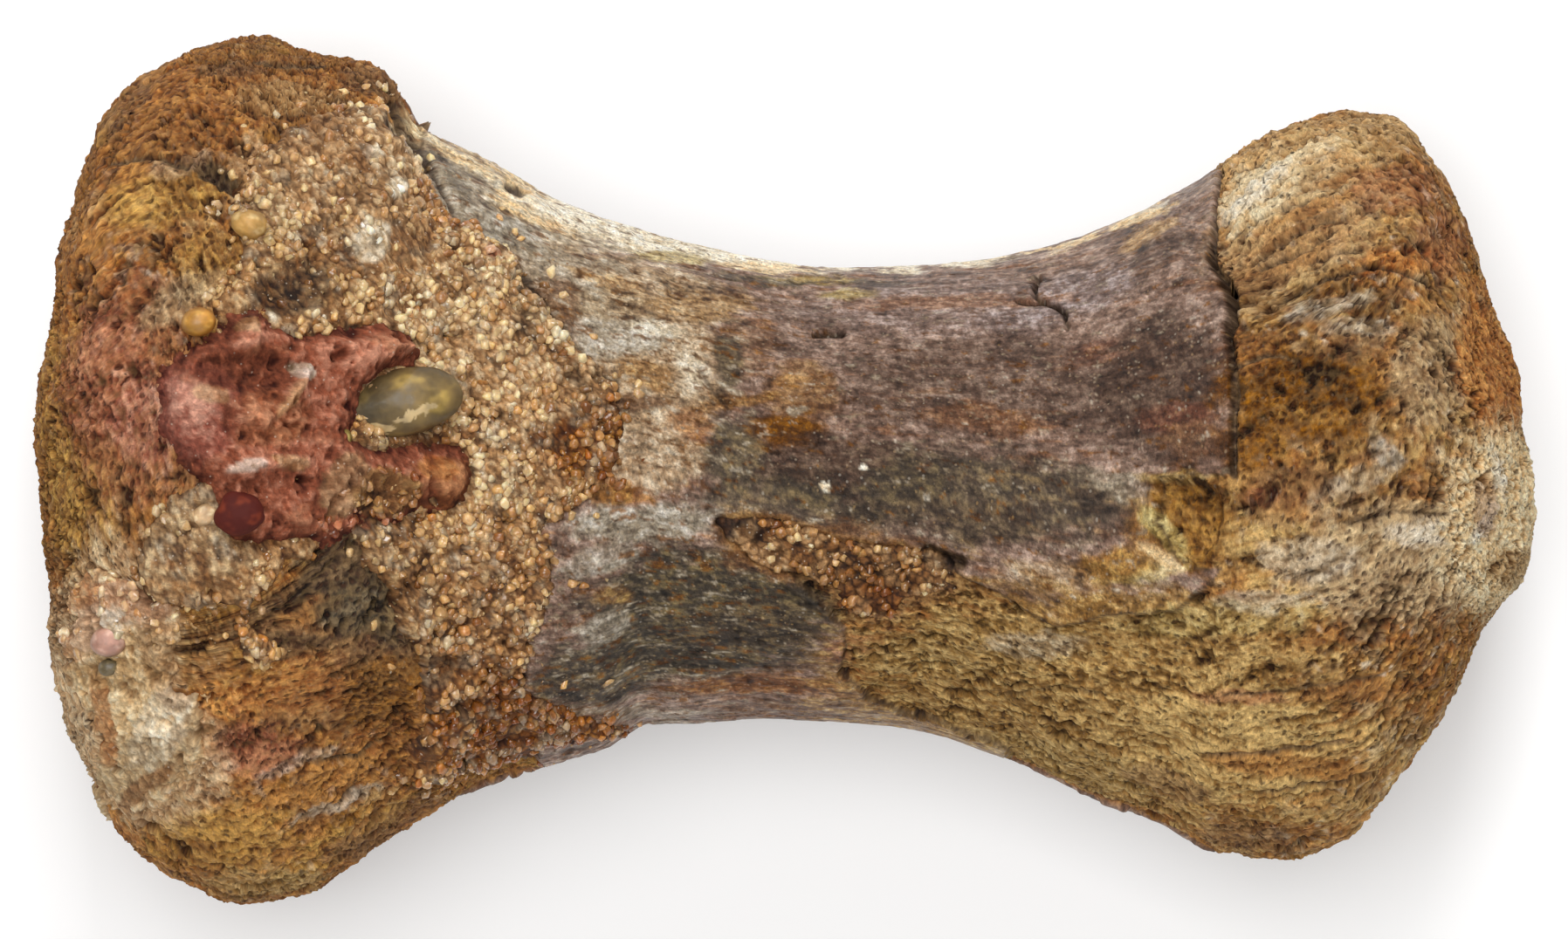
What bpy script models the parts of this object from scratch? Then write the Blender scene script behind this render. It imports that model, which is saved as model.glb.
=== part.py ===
"""A fossil limb bone lying on its back, with the sandstone, clay and pebbles that still cling to it.

Run it with blender --background --python part.py, or from Blender's text editor. Units are metres.
+X runs along the shaft to the narrower end and +Y to the upper edge of the broad face, which looks up.
The origin lies on the surface that the bone rests on, under the middle of its length and width.
"""

import math

import bmesh
import bpy
import numpy as np
from mathutils import Matrix, Vector, noise

MM = 0.001

# Plan outline of the broad face, as (x, y) in millimetres from the wide end to the narrow end.
UPPER_EDGE = (
    (-40.4, 4.5), (-39.5, 8.0), (-38.6, 12.0), (-37.3, 16.2), (-36.2, 19.0), (-34.2, 21.0), (-31.0, 22.6),
    (-27.9, 23.1), (-25.0, 22.3), (-21.6, 21.4), (-20.4, 20.0), (-19.2, 18.2), (-16.3, 16.7), (-11.6, 14.1),
    (-5.0, 12.0), (2.4, 10.8), (9.0, 11.0), (15.0, 12.2), (21.0, 14.8), (25.7, 17.8), (29.5, 19.0),
    (32.4, 18.6), (35.0, 15.7), (37.3, 10.4), (38.9, 6.6), (39.5, 3.6), (40.0, 0.6), (40.4, -2.0),
)
LOWER_EDGE = (
    (-40.4, -4.5), (-39.3, -9.0), (-38.7, -13.0), (-37.2, -16.4), (-35.4, -19.2), (-32.6, -21.6),
    (-28.6, -23.1), (-25.6, -22.4), (-22.0, -20.2), (-16.3, -17.0), (-9.6, -14.7), (-7.2, -13.4),
    (0.0, -13.3), (5.0, -13.5), (11.0, -15.1), (16.3, -17.5), (20.4, -19.0), (23.0, -20.6), (26.0, -20.9),
    (29.4, -19.8), (32.6, -16.5), (35.0, -13.0), (37.3, -8.6), (38.9, -7.2), (39.8, -6.2),
    (40.4, -4.4),
)
# Side outline, as half depths above and below the bone's long axis.
FRONT_EDGE = (
    (-40.4, 8.0), (-39.2, 11.0), (-37.6, 14.0), (-34.5, 16.2), (-30.0, 17.0), (-24.5, 15.8), (-17.0, 12.9),
    (-8.0, 10.9), (2.0, 10.2), (11.0, 10.9), (18.0, 12.4), (24.0, 14.2), (29.0, 15.2), (33.5, 14.4),
    (36.8, 11.8), (38.8, 8.4), (39.6, 5.6), (40.1, 3.4), (40.4, 1.2),
)
BACK_EDGE = (
    (-40.4, 8.0), (-39.0, 11.6), (-36.8, 14.8), (-33.5, 16.6), (-29.5, 17.2), (-25.0, 15.9), (-17.0, 12.2),
    (-8.0, 9.8), (2.0, 8.9), (11.0, 9.6), (18.0, 11.6), (23.5, 13.9), (28.5, 15.0), (33.0, 14.2),
    (36.6, 11.4), (38.8, 8.0), (39.6, 5.4), (40.1, 3.3), (40.4, 1.2),
)
AXIS_HEIGHT_WIDE_END = 16.4
AXIS_HEIGHT_NARROW_END = 13.9
WIDE_END_X = -40.4
NARROW_END_X = 40.4
SECTION_POWER = 2.3

# The joint faces: a dish in the wide end, and a trough between two low swellings in the narrow end.
DISH_DEPTH = 2.6
DISH_HALF_WIDTH = 9.0
DISH_HALF_HEIGHT = 6.5
TROUGH_DEPTH = 0.7
TROUGH_HALF_HEIGHT = 4.5
FACE_REACH = 6.0

# Mesh of the bone: rings along the shaft, as shares of the end ring on each joint face, at x near the narrow
# tip, and columns round the section.
SHAFT_RINGS = 52
WIDE_FACE_RINGS = (0.16, 0.36, 0.56, 0.75, 0.9)
NARROW_TIP_RINGS = (39.9, 40.2)
NARROW_FACE_RING = 0.5
FRONT_COLUMNS = 26
BACK_COLUMNS = 16
END_CROWDING = 0.4

# Unevenness of the weathered surface, which stretch of the noise each kind of lump reads, and how far from
# the narrow tip any relief is at its full height.
SWELL_HEIGHT = 0.30
SWELL_SIZE = 9.0
KNOB_HEIGHT = 0.28
KNOB_SIZE = 4.0
OUTLINE_SWELL = 0.3
NOISE_PLACE = {"swell": 3.7, "knob": 9.1, "rag": 40.0, "sand": 21.0, "clay": 5.0}
TIP_CALM = 3.0

# Clear gap that separate pieces keep, the thinnest edge of a crust, and how ragged a crust's outline is.
GAP = 0.3
THINNEST_CRUST = 0.5
RAGGEDNESS = 0.1
RAG_SIZE = 6.0
# How far two crusts' outlines stay apart, as a share of a patch's size, and how far a rim corner may slide
# along the grid, as a share of a cell, where the field is steeper than the slight slope.
CRUST_SPACING = 0.14
RIM_SLIDE = 0.28
SLIGHT_SLOPE = 1e-6

# The crusts' patches seen from above, as (x, y, half length, half width, turn in degrees) in millimetres.
PATCHES = {
    "sandstone_crust": (
        (-23.6, 13.4, 7.4, 6.6, -20.0),
        (-15.6, 6.2, 8.0, 6.6, -35.0),
        (-15.4, -4.6, 5.6, 9.0, 0.0),
        (-14.2, -13.4, 6.8, 3.6, 8.0),
        (-26.6, 3.4, 8.8, 7.4, 0.0),
        (-30.6, -3.6, 4.8, 3.6, -15.0),
        (-9.2, 2.6, 4.6, 2.8, -15.0),
    ),
    "pale_crust": (
        (-35.6, -9.6, 3.8, 4.6, 0.0),
        (-34.4, -15.4, 3.4, 4.4, 20.0),
    ),
    "fissure_sand": (
        (0.9, -4.4, 4.6, 2.0, -12.0),
        (6.4, -6.0, 4.0, 2.2, -14.0),
    ),
    "red_clay_lump": (
        (-26.8, 4.2, 6.6, 4.0, 4.0),
        (-22.6, 5.2, 3.8, 2.2, 0.0),
        (-27.8, -1.6, 3.4, 2.4, 0.0),
        (-19.0, -0.2, 2.6, 2.4, 0.0),
        (-23.4, 0.2, 3.6, 2.2, 0.0),
    ),
}
# Levels of the crusts in millimetres, and the share of a patch's depth that its sloping shoulder takes.
SHOULDER = 0.4
SAND_DEPTH = 2.1
SAND_RISE = 0.25
SAND_LUMP = 0.35
SAND_LUMP_SIZE = 3.2
PALE_DEPTH = 1.5
PALE_RISE = 0.35
FISSURE_DEPTH = 1.6
FISSURE_SINK = 0.2
CLAY_HEIGHT = 2.2
CLAY_SEAT = 0.5
CLAY_LUMP = 0.3
CLAY_LUMP_SIZE = 2.4
CLAY_CREST = 0.5
CREST_FOOT_Y = 2.0
CREST_TOP_Y = 6.5
# Upward tilt of the surface's normal where the broad face begins and where it is reached in full.
FACE_BEGINS = -0.35
FACE_REACHED = 0.15

# Where the hard outer layer has flaked off: east of the break, and below the fissure.
BREAK_X = 23.4
BREAK_TOP_Y = 17.0
BREAK_FOOT_Y = -2.5
BREAK_STEP = 0.8
BREAK_WIDTH = 0.5
SPONGY_PATCHES = (
    (22.0, -13.0, 18.5, 8.2, -7.0),
    (32.0, -6.0, 10.0, 9.0, 0.0),
)
SPONGY_STEP = 0.6
FLAKE_BLUR = 1.4

# Pebbles, as (x, y, half length, half width, half thickness, turn in degrees, height of the centre).
PEBBLES = {
    "olive_pebble": (-19.9, 3.6, 3.25, 1.85, 1.35, 12.0, 0.75),
    "amber_pebble": (-30.6, 7.7, 0.95, 0.8, 0.7, 10.0, 0.75),
    "brown_pebble": (-28.4, -2.3, 1.45, 1.3, 0.9, 0.0, 1.2),
    "pink_pebble": (-35.4, -9.0, 1.0, 0.85, 0.6, 5.0, 0.1),
}
PEBBLE_HOSTS = {
    "olive_pebble": ("sandstone_crust", "red_clay_lump"),
    "amber_pebble": ("sandstone_crust", "red_clay_lump"),
    "brown_pebble": ("sandstone_crust", "red_clay_lump"),
    "pink_pebble": ("pale_crust",),
}

FINISHES = {
    "bone": ((0.36, 0.22, 0.11), 0.75),
    "sandstone_crust": ((0.62, 0.46, 0.30), 0.85),
    "pale_crust": ((0.66, 0.53, 0.38), 0.9),
    "fissure_sand": ((0.55, 0.38, 0.23), 0.85),
    "red_clay_lump": ((0.48, 0.20, 0.15), 0.95),
    "olive_pebble": ((0.33, 0.30, 0.15), 0.25),
    "amber_pebble": ((0.55, 0.35, 0.10), 0.3),
    "brown_pebble": ((0.32, 0.13, 0.08), 0.6),
    "pink_pebble": ((0.62, 0.44, 0.36), 0.45),
}


def clear_scene():
    """Removes whatever the file held."""
    for thing in list(bpy.data.objects):
        bpy.data.objects.remove(thing, do_unlink=True)


def new_collection(name):
    """An empty collection under the scene."""
    collection = bpy.data.collections.new(name)
    bpy.context.scene.collection.children.link(collection)
    return collection


def finish_of(name):
    """The Principled material of a piece, in its own colour."""
    colour, roughness = FINISHES[name]
    material = bpy.data.materials.new(name)
    material.use_nodes = True
    shader = material.node_tree.nodes["Principled BSDF"]
    shader.inputs["Base Color"].default_value = (*colour, 1.0)
    shader.inputs["Roughness"].default_value = roughness
    shader.inputs["Metallic"].default_value = 0.0
    material.diffuse_color = (*colour, 1.0)
    return material


def ease(value, low, high):
    """0 below low, 1 above high, and smooth between them."""
    share = np.clip((value - low) / (high - low), 0.0, 1.0)
    return share * share * (3.0 - 2.0 * share)


def follow(outline, x):
    """Height of a smooth curve through an outline's points, at x."""
    xs, ys = np.array(outline).T
    rise = np.diff(ys) / np.diff(xs)
    slope = np.empty_like(ys)
    slope[0], slope[-1] = rise[0], rise[-1]
    before, after = rise[:-1], rise[1:]
    same_way = before * after > 0.0
    slope[1:-1] = np.where(same_way, 2.0 * before * after / np.where(same_way, before + after, 1.0), 0.0)
    span = np.clip(np.searchsorted(xs, x) - 1, 0, len(xs) - 2)
    width = xs[span + 1] - xs[span]
    t = (x - xs[span]) / width
    start = ys[span] * (1.0 + 2.0 * t) * (1.0 - t) ** 2 + slope[span] * width * t * (1.0 - t) ** 2
    end = ys[span + 1] * t * t * (3.0 - 2.0 * t) - slope[span + 1] * width * t * t * (1.0 - t)
    return start + end


def axis_height(x):
    """Height of the bone's long axis above the surface, in millimetres."""
    share = (x - WIDE_END_X) / (NARROW_END_X - WIDE_END_X)
    return AXIS_HEIGHT_WIDE_END + share * (AXIS_HEIGHT_NARROW_END - AXIS_HEIGHT_WIDE_END)


def plan_at(x):
    """y of the plan's middle at x, and half its width there, in millimetres."""
    upper, lower = follow(UPPER_EDGE, x), follow(LOWER_EDGE, x)
    return 0.5 * (upper + lower), 0.5 * (upper - lower)


def ring_places():
    """x of each ring along the shaft: closer together towards the ends, with more at the break and tip."""
    t = np.linspace(0.0, 1.0, SHAFT_RINGS)
    crowded = t - END_CROWDING * np.sin(2.0 * math.pi * t) / (2.0 * math.pi)
    even = WIDE_END_X + crowded * (NARROW_END_X - WIDE_END_X)
    clear = even[np.abs(even - BREAK_X) > 1.5 * BREAK_WIDTH]
    close = (BREAK_X - 0.5 * BREAK_WIDTH, BREAK_X + 0.5 * BREAK_WIDTH, *NARROW_TIP_RINGS)
    return np.sort(np.append(clear, close))


def section_angles():
    """Angles round the section, closer together on the broad face that looks up."""
    front = np.linspace(0.0, math.pi, FRONT_COLUMNS, endpoint=False)
    back = np.linspace(math.pi, 2.0 * math.pi, BACK_COLUMNS, endpoint=False)
    return np.concatenate([front, back])


def section(x, angles):
    """Points of the bone's section at x, in millimetres."""
    power = 2.0 / SECTION_POWER
    across = np.sign(np.cos(angles)) * np.abs(np.cos(angles)) ** power
    above = np.sign(np.sin(angles)) * np.abs(np.sin(angles)) ** power
    middle, half_width = plan_at(x)
    y = middle + across * half_width
    z = np.where(above > 0.0, above * follow(FRONT_EDGE, x), above * follow(BACK_EDGE, x))
    return np.stack([np.full_like(y, x), y, axis_height(x) + z], axis=1)


def shape_joint_faces(points):
    """Dishes the wide end and grooves the narrow end."""
    x, y, z = points[..., 0], points[..., 1], points[..., 2]
    height = z - axis_height(x)
    dish = np.exp(-((y / DISH_HALF_WIDTH) ** 2) - (height / DISH_HALF_HEIGHT) ** 2)
    dish *= ease(-x, -WIDE_END_X - FACE_REACH, -WIDE_END_X)
    trough = np.exp(-((height / TROUGH_HALF_HEIGHT) ** 2))
    trough *= ease(x, NARROW_END_X - FACE_REACH, NARROW_END_X)
    shaped = points.copy()
    shaped[..., 0] += DISH_DEPTH * dish - TROUGH_DEPTH * trough
    return shaped


def plain_grid():
    """The bone's surface with no relief, as rings of points from joint face to joint face."""
    angles = section_angles()
    shaft = [section(x, angles) for x in ring_places()]
    wide_middle, narrow_middle = shaft[0].mean(axis=0), shaft[-1].mean(axis=0)
    wide_face = [wide_middle + share * (shaft[0] - wide_middle) for share in WIDE_FACE_RINGS]
    narrow_face = [narrow_middle + NARROW_FACE_RING * (shaft[-1] - narrow_middle)]
    return shape_joint_faces(np.array(wide_face + shaft + narrow_face))


def grid_normals(points):
    """Outward unit normals of the rings' points."""
    along = np.gradient(points, axis=0)
    around = np.roll(points, -1, axis=1) - np.roll(points, 1, axis=1)
    normals = np.cross(around, along)
    return normals / np.linalg.norm(normals, axis=-1, keepdims=True)


def uneven(points, size, kind):
    """Smooth noise from -1 to 1 at each point, whose lumps are about size millimetres across."""
    flat = points.reshape(-1, 3) / size + NOISE_PLACE[kind]
    return np.array([noise.noise(Vector(p)) for p in flat]).reshape(points.shape[:-1])


def depth_in_patches(points, patches):
    """How far inside some patches each point lies: 1 at a middle, 0 at the edge and negative outside."""
    field = np.full(points.shape[:-1], -9.0)
    for x, y, half_length, half_width, turn in patches:
        c, s = math.cos(math.radians(turn)), math.sin(math.radians(turn))
        dx, dy = points[..., 0] - x, points[..., 1] - y
        along = (dx * c + dy * s) / half_length
        across = (dy * c - dx * s) / half_width
        field = np.maximum(field, 1.0 - np.hypot(along, across))
    return field


def cells_inside(field):
    """Which cells of the grid lie in a patch, with lone cells filled or dropped so that the rim is clean."""
    corners = field + np.roll(field, -1, axis=0)
    inside = corners + np.roll(corners, -1, axis=1) > 0.0
    for _ in range(3):
        inside[0] = inside[-1] = False
        sides = ((1, 0), (-1, 0), (1, 1), (-1, 1))
        beside = sum(np.roll(inside, step, axis=axis).astype(int) for step, axis in sides)
        inside = (inside & (beside > 1)) | (beside > 2)
    return inside


def read_between(grid, ring, column):
    """The grid's value at a place between its rings and columns, on the triangle that the place lies in."""
    near, left = math.floor(ring), math.floor(column)
    down, across = ring - near, column - left
    first, last = left % grid.shape[1], (left + 1) % grid.shape[1]
    corner = grid[near, last] if across > down else grid[near + 1, first]
    start, end = 1.0 - max(down, across), min(down, across)
    return grid[near, first] * start + corner * (1.0 - start - end) + grid[near + 1, last] * end


class Surface:
    """The bone's nominal surface as a grid, with each crust's cells and the levels of what lies there."""

    def __init__(self):
        plain = plain_grid()
        self.normals = grid_normals(plain)
        swell = SWELL_HEIGHT * uneven(plain, SWELL_SIZE, "swell")
        swell += KNOB_HEIGHT * uneven(plain, KNOB_SIZE, "knob")
        swell *= OUTLINE_SWELL + (1.0 - OUTLINE_SWELL) * np.abs(self.normals[..., 2])
        swell *= ease(NARROW_END_X - plain[..., 0], 0.0, TIP_CALM)
        self.points = plain + swell[..., None] * self.normals
        self.points[..., 2] = np.maximum(self.points[..., 2], 0.0)
        self.cells = {}
        for name in PATCHES:
            self.cells[name] = cells_inside(self.inside(name))
            self.slide_rim(name)
        self.sand, self.pale, self.fissure, self.clay = (self.inside(name) for name in PATCHES)
        self.bone_level = -self.lost_bone()
        self.floor = self.bone_level + GAP
        self.thinnest = self.floor + THINNEST_CRUST

    def on_face(self):
        """1 on the face that looks up, 0 on the others and at the narrow tip."""
        clear_of_tip = ease(NARROW_END_X - self.points[..., 0], 0.0, TIP_CALM)
        return ease(self.normals[..., 2], FACE_BEGINS, FACE_REACHED) * clear_of_tip

    def covered(self, patches):
        """How far inside some patches each point lies, with a ragged outline; other faces are outside."""
        ragged = RAGGEDNESS * uneven(self.points, RAG_SIZE, "rag")
        return depth_in_patches(self.points, patches) + ragged - 2.0 * (1.0 - self.on_face())

    def inside(self, name):
        """How far inside a crust each point lies: clay stays on the sandstone and the others clear of it."""
        field = self.covered(PATCHES[name])
        if name == "sandstone_crust":
            return field
        sand = self.covered(PATCHES["sandstone_crust"])
        return np.minimum(field, sand if name == "red_clay_lump" else -sand - CRUST_SPACING)

    def slide_rim(self, name):
        """Slides the corners on the rim of a crust's cells along the surface to the crust's outline."""
        field, cells = self.inside(name), self.cells[name]
        around = 0.5 * (np.roll(field, -1, axis=1) - np.roll(field, 1, axis=1))
        slope = np.stack([np.gradient(field, axis=0), around], axis=-1)
        steepness = np.maximum((slope ** 2).sum(axis=-1), SLIGHT_SLOPE)
        slide = np.clip(-(field / steepness)[..., None] * slope, -RIM_SLIDE, RIM_SLIDE)
        used = cells.astype(int) + np.roll(cells, 1, axis=0)
        used = used + np.roll(used, 1, axis=1)
        points, normals = self.points.copy(), self.normals.copy()
        for corner in np.argwhere((used > 0) & (used < 4)):
            place = corner + slide[tuple(corner)]
            points[tuple(corner)] = read_between(self.points, *place)
            normals[tuple(corner)] = read_between(self.normals, *place)
        self.points, self.normals = points, normals

    def lost_bone(self):
        """Depth of bone lost below the nominal surface, in millimetres."""
        x, y = self.points[..., 0], self.points[..., 1]
        under_sand = SAND_DEPTH * ease(self.sand, 0.0, SHOULDER)
        under_pale = PALE_DEPTH * ease(self.pale, 0.0, SHOULDER)
        in_fissure = FISSURE_DEPTH * ease(self.fissure, 0.0, SHOULDER)
        east = ease(x, BREAK_X - 0.5 * BREAK_WIDTH, BREAK_X + 0.5 * BREAK_WIDTH)
        above_foot = ease(y, BREAK_FOOT_Y - FLAKE_BLUR, BREAK_FOOT_Y + FLAKE_BLUR)
        below_top = ease(-y, -BREAK_TOP_Y - FLAKE_BLUR, -BREAK_TOP_Y + FLAKE_BLUR)
        flaked = BREAK_STEP * east * above_foot * below_top * self.on_face()
        spongy = SPONGY_STEP * ease(self.covered(SPONGY_PATCHES), 0.0, 0.15)
        lost = np.maximum.reduce([under_sand, under_pale, in_fissure, flaked, spongy])
        return lost * (self.points[..., 2] > GAP)

    def at(self, level):
        """Points that lie level millimetres above the nominal surface."""
        return self.points + level[..., None] * self.normals

    def sand_top(self):
        """Level of the sandstone's lumpy top, with a seat for the clay."""
        lumps = SAND_RISE + SAND_LUMP * uneven(self.points, SAND_LUMP_SIZE, "sand")
        seat = CLAY_SEAT * ease(self.clay, 0.0, SHOULDER)
        return np.maximum(lumps * ease(self.sand, 0.0, SHOULDER) - seat, self.thinnest)

    def pale_top(self):
        """Level of the pale crust's top."""
        return np.maximum(PALE_RISE * ease(self.pale, 0.0, SHOULDER), self.thinnest)

    def fissure_top(self):
        """Level of the sand in the fissure, a little below the bone around it."""
        return np.maximum(-FISSURE_SINK * ease(self.fissure, 0.0, SHOULDER), self.thinnest)

    def clay_top(self):
        """Level of the clay's top, highest along its upper edge."""
        crest = CLAY_CREST * ease(self.points[..., 1], CREST_FOOT_Y, CREST_TOP_Y)
        lumps = CLAY_LUMP * uneven(self.points, CLAY_LUMP_SIZE, "clay")
        height = (CLAY_HEIGHT + crest + lumps) * ease(self.clay, 0.0, SHOULDER)
        return np.maximum(height, self.sand_top() + GAP + THINNEST_CRUST)

    def height_at(self, x, y):
        """Height of the nominal upper surface over a point of the plan."""
        middle, half_width = plan_at(x)
        across = min(abs(y - middle) / half_width, 1.0)
        rise = (1.0 - across ** SECTION_POWER) ** (1.0 / SECTION_POWER)
        return float(axis_height(x) + rise * follow(FRONT_EDGE, x))


def object_from(bm, name, collection):
    """Turns a bmesh into a named object with its own material."""
    mesh = bpy.data.meshes.new(name)
    bm.to_mesh(mesh)
    bm.free()
    mesh.materials.append(finish_of(name))
    thing = bpy.data.objects.new(name, mesh)
    collection.objects.link(thing)
    return thing


def add_bone(surface, collection):
    """The whole bone: rings joined into a tube and closed by a fan on each joint face."""
    points = surface.at(surface.bone_level) * MM
    rings, columns = points.shape[:2]
    bm = bmesh.new()
    verts = [[bm.verts.new(p) for p in ring] for ring in points]
    for near, far in zip(verts, verts[1:]):
        for c in range(columns):
            following = (c + 1) % columns
            bm.faces.new((near[c], near[following], far[following], far[c]))
    for ring in (0, rings - 1):
        middle = bm.verts.new(points[ring].mean(axis=0))
        for c in range(columns):
            bm.faces.new((verts[ring][(c + 1) % columns], verts[ring][c], middle))
    bmesh.ops.triangulate(bm, faces=bm.faces[:], quad_method="FIXED")
    bmesh.ops.recalc_face_normals(bm, faces=bm.faces[:])
    return object_from(bm, "bone", collection)


def add_crust(name, surface, floor, top, collection):
    """A closed layer over a crust's cells, between two levels above the nominal surface."""
    low, high = surface.at(floor) * MM, surface.at(top) * MM
    bm = bmesh.new()
    ring_of, column_of = (bm.verts.layers.int.new(key) for key in ("ring", "column"))
    verts = {}
    for ring, column in np.argwhere(surface.cells[name]).tolist():
        following = (column + 1) % low.shape[1]
        corners = ((ring, column), (ring, following), (ring + 1, following), (ring + 1, column))
        for corner in corners:
            if corner not in verts:
                verts[corner] = bm.verts.new(low[corner])
                verts[corner][ring_of], verts[corner][column_of] = corner
        bm.faces.new([verts[corner] for corner in corners])
    bmesh.ops.triangulate(bm, faces=bm.faces[:], quad_method="FIXED")
    raised = bmesh.ops.extrude_face_region(bm, geom=bm.faces[:], use_keep_orig=True)["geom"]
    for vert in (item for item in raised if isinstance(item, bmesh.types.BMVert)):
        vert.co = high[vert[ring_of], vert[column_of]]
    bmesh.ops.recalc_face_normals(bm, faces=bm.faces[:])
    return object_from(bm, name, collection)


def pebble_mesh(name, swell):
    """A worn ellipsoid, swell millimetres larger all round than the pebble's own size."""
    half_length, half_width, half_thickness = PEBBLES[name][2:5]
    bm = bmesh.new()
    bmesh.ops.create_icosphere(bm, subdivisions=3 if half_length > 2.0 else 2, radius=1.0)
    for vert in bm.verts:
        worn = 1.0 + 0.05 * noise.noise(vert.co * 1.7)
        vert.co = Vector((
            vert.co.x * (half_length * worn + swell),
            vert.co.y * (half_width * worn + swell),
            vert.co.z * (half_thickness * worn + swell),
        )) * MM
    return bm


def place_pebble(thing, surface, name):
    """Sets a pebble, or its socket's cutter, where it lies in the crust."""
    x, y, turn, lift = (PEBBLES[name][i] for i in (0, 1, 5, 6))
    place = Vector((x, y, surface.height_at(x, y) + lift)) * MM
    thing.matrix_world = Matrix.Translation(place) @ Matrix.Rotation(math.radians(turn), 4, "Z")


def add_pebble(name, surface, collection):
    """One pebble, as a solid of its own."""
    thing = object_from(pebble_mesh(name, 0.0), name, collection)
    place_pebble(thing, surface, name)
    return thing


def cut_socket(name, surface, pieces, cutters):
    """Cuts room for a pebble, with a clear gap, in the crusts that hold it."""
    mesh = bpy.data.meshes.new(name + "_socket")
    bm = pebble_mesh(name, GAP)
    bm.to_mesh(mesh)
    bm.free()
    cutter = bpy.data.objects.new(name + "_socket", mesh)
    cutters.objects.link(cutter)
    cutter.hide_render = True
    cutter.display_type = "WIRE"
    place_pebble(cutter, surface, name)
    for host in PEBBLE_HOSTS[name]:
        modifier = pieces[host].modifiers.new(name + "_socket", "BOOLEAN")
        modifier.operation = "DIFFERENCE"
        modifier.object = cutter
        modifier.solver = "EXACT"


def main():
    """Builds the bone, its crusts and the pebbles in them."""
    clear_scene()
    parts = new_collection("fossil_bone")
    cutters = new_collection("cutters")
    surface = Surface()
    pieces = {"bone": add_bone(surface, parts)}
    levels = {
        "sandstone_crust": (surface.floor, surface.sand_top()),
        "pale_crust": (surface.floor, surface.pale_top()),
        "fissure_sand": (surface.floor, surface.fissure_top()),
        "red_clay_lump": (surface.sand_top() + GAP, surface.clay_top()),
    }
    for name, (floor, top) in levels.items():
        pieces[name] = add_crust(name, surface, floor, top, parts)
    for name in PEBBLES:
        pieces[name] = add_pebble(name, surface, parts)
        cut_socket(name, surface, pieces, cutters)


main()
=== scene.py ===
"""The looks of a fossil limb bone that lies on a pale table, with sand, clay and pebbles cemented to it.

Lengths in this file are millimetres unless a name says otherwise, and become metres where a mesh is made.
Places on the side that faces the camera are given in pixels of a 1796 x 1076 picture, because every hollow,
stain and crack there was placed against such a picture.
"""
from __future__ import annotations

import logging
import math
from dataclasses import dataclass, field
from enum import Enum

import bmesh
import bpy
import numpy as np
from mathutils import Matrix, Vector, noise

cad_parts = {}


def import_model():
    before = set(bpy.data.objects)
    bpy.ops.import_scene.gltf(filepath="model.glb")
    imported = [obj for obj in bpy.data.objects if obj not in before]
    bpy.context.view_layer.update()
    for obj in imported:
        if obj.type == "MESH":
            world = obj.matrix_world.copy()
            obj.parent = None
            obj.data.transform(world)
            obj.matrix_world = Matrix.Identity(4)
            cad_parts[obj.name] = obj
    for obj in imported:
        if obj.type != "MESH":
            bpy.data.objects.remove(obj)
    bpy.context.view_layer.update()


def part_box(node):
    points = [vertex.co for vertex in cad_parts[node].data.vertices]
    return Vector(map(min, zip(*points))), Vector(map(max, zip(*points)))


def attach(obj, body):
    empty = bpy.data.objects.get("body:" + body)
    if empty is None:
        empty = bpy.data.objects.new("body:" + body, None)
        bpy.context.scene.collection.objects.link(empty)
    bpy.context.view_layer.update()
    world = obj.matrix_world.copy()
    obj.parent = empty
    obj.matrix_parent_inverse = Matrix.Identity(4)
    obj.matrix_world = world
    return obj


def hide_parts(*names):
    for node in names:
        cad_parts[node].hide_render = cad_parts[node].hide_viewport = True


LOG = logging.getLogger("fossil_bone")
MM = 0.001
BODY = "root"
PIXEL = 0.0466
PICTURE_CENTRE = (899.5, 538.5)
PICTURE_SIZE = (1796, 1076)
LEVEL_IN_FOCUS = 15.2
CAMERA_HEIGHT = 800.0
BEHIND = 3.0
PAST_EDGE = 0.06
SHELL_BEHIND = (-21.5, 23.1)

Array = np.ndarray
Colour = tuple[float, float, float]


def ease(value: Array, low: float, high: float) -> Array:
    """Smooth step of a value.

    Args:
        value: What is measured.
        low: Where the step begins.
        high: Where it ends.

    Returns:
        0 below low, 1 above high, and smooth between them.
    """
    share = np.clip((value - low) / (high - low), 0.0, 1.0)
    return share * share * (3.0 - 2.0 * share)


def linear(code: str) -> Array:
    """Linear colour of a six-digit screen colour.

    Args:
        code: Red, green and blue as hexadecimal digits.

    Returns:
        The three linear values.
    """
    screen = np.array([int(code[i:i + 2], 16) for i in (0, 2, 4)]) / 255.0
    return np.where(screen > 0.04045, ((screen + 0.055) / 1.055) ** 2.4, screen / 12.92)


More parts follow.
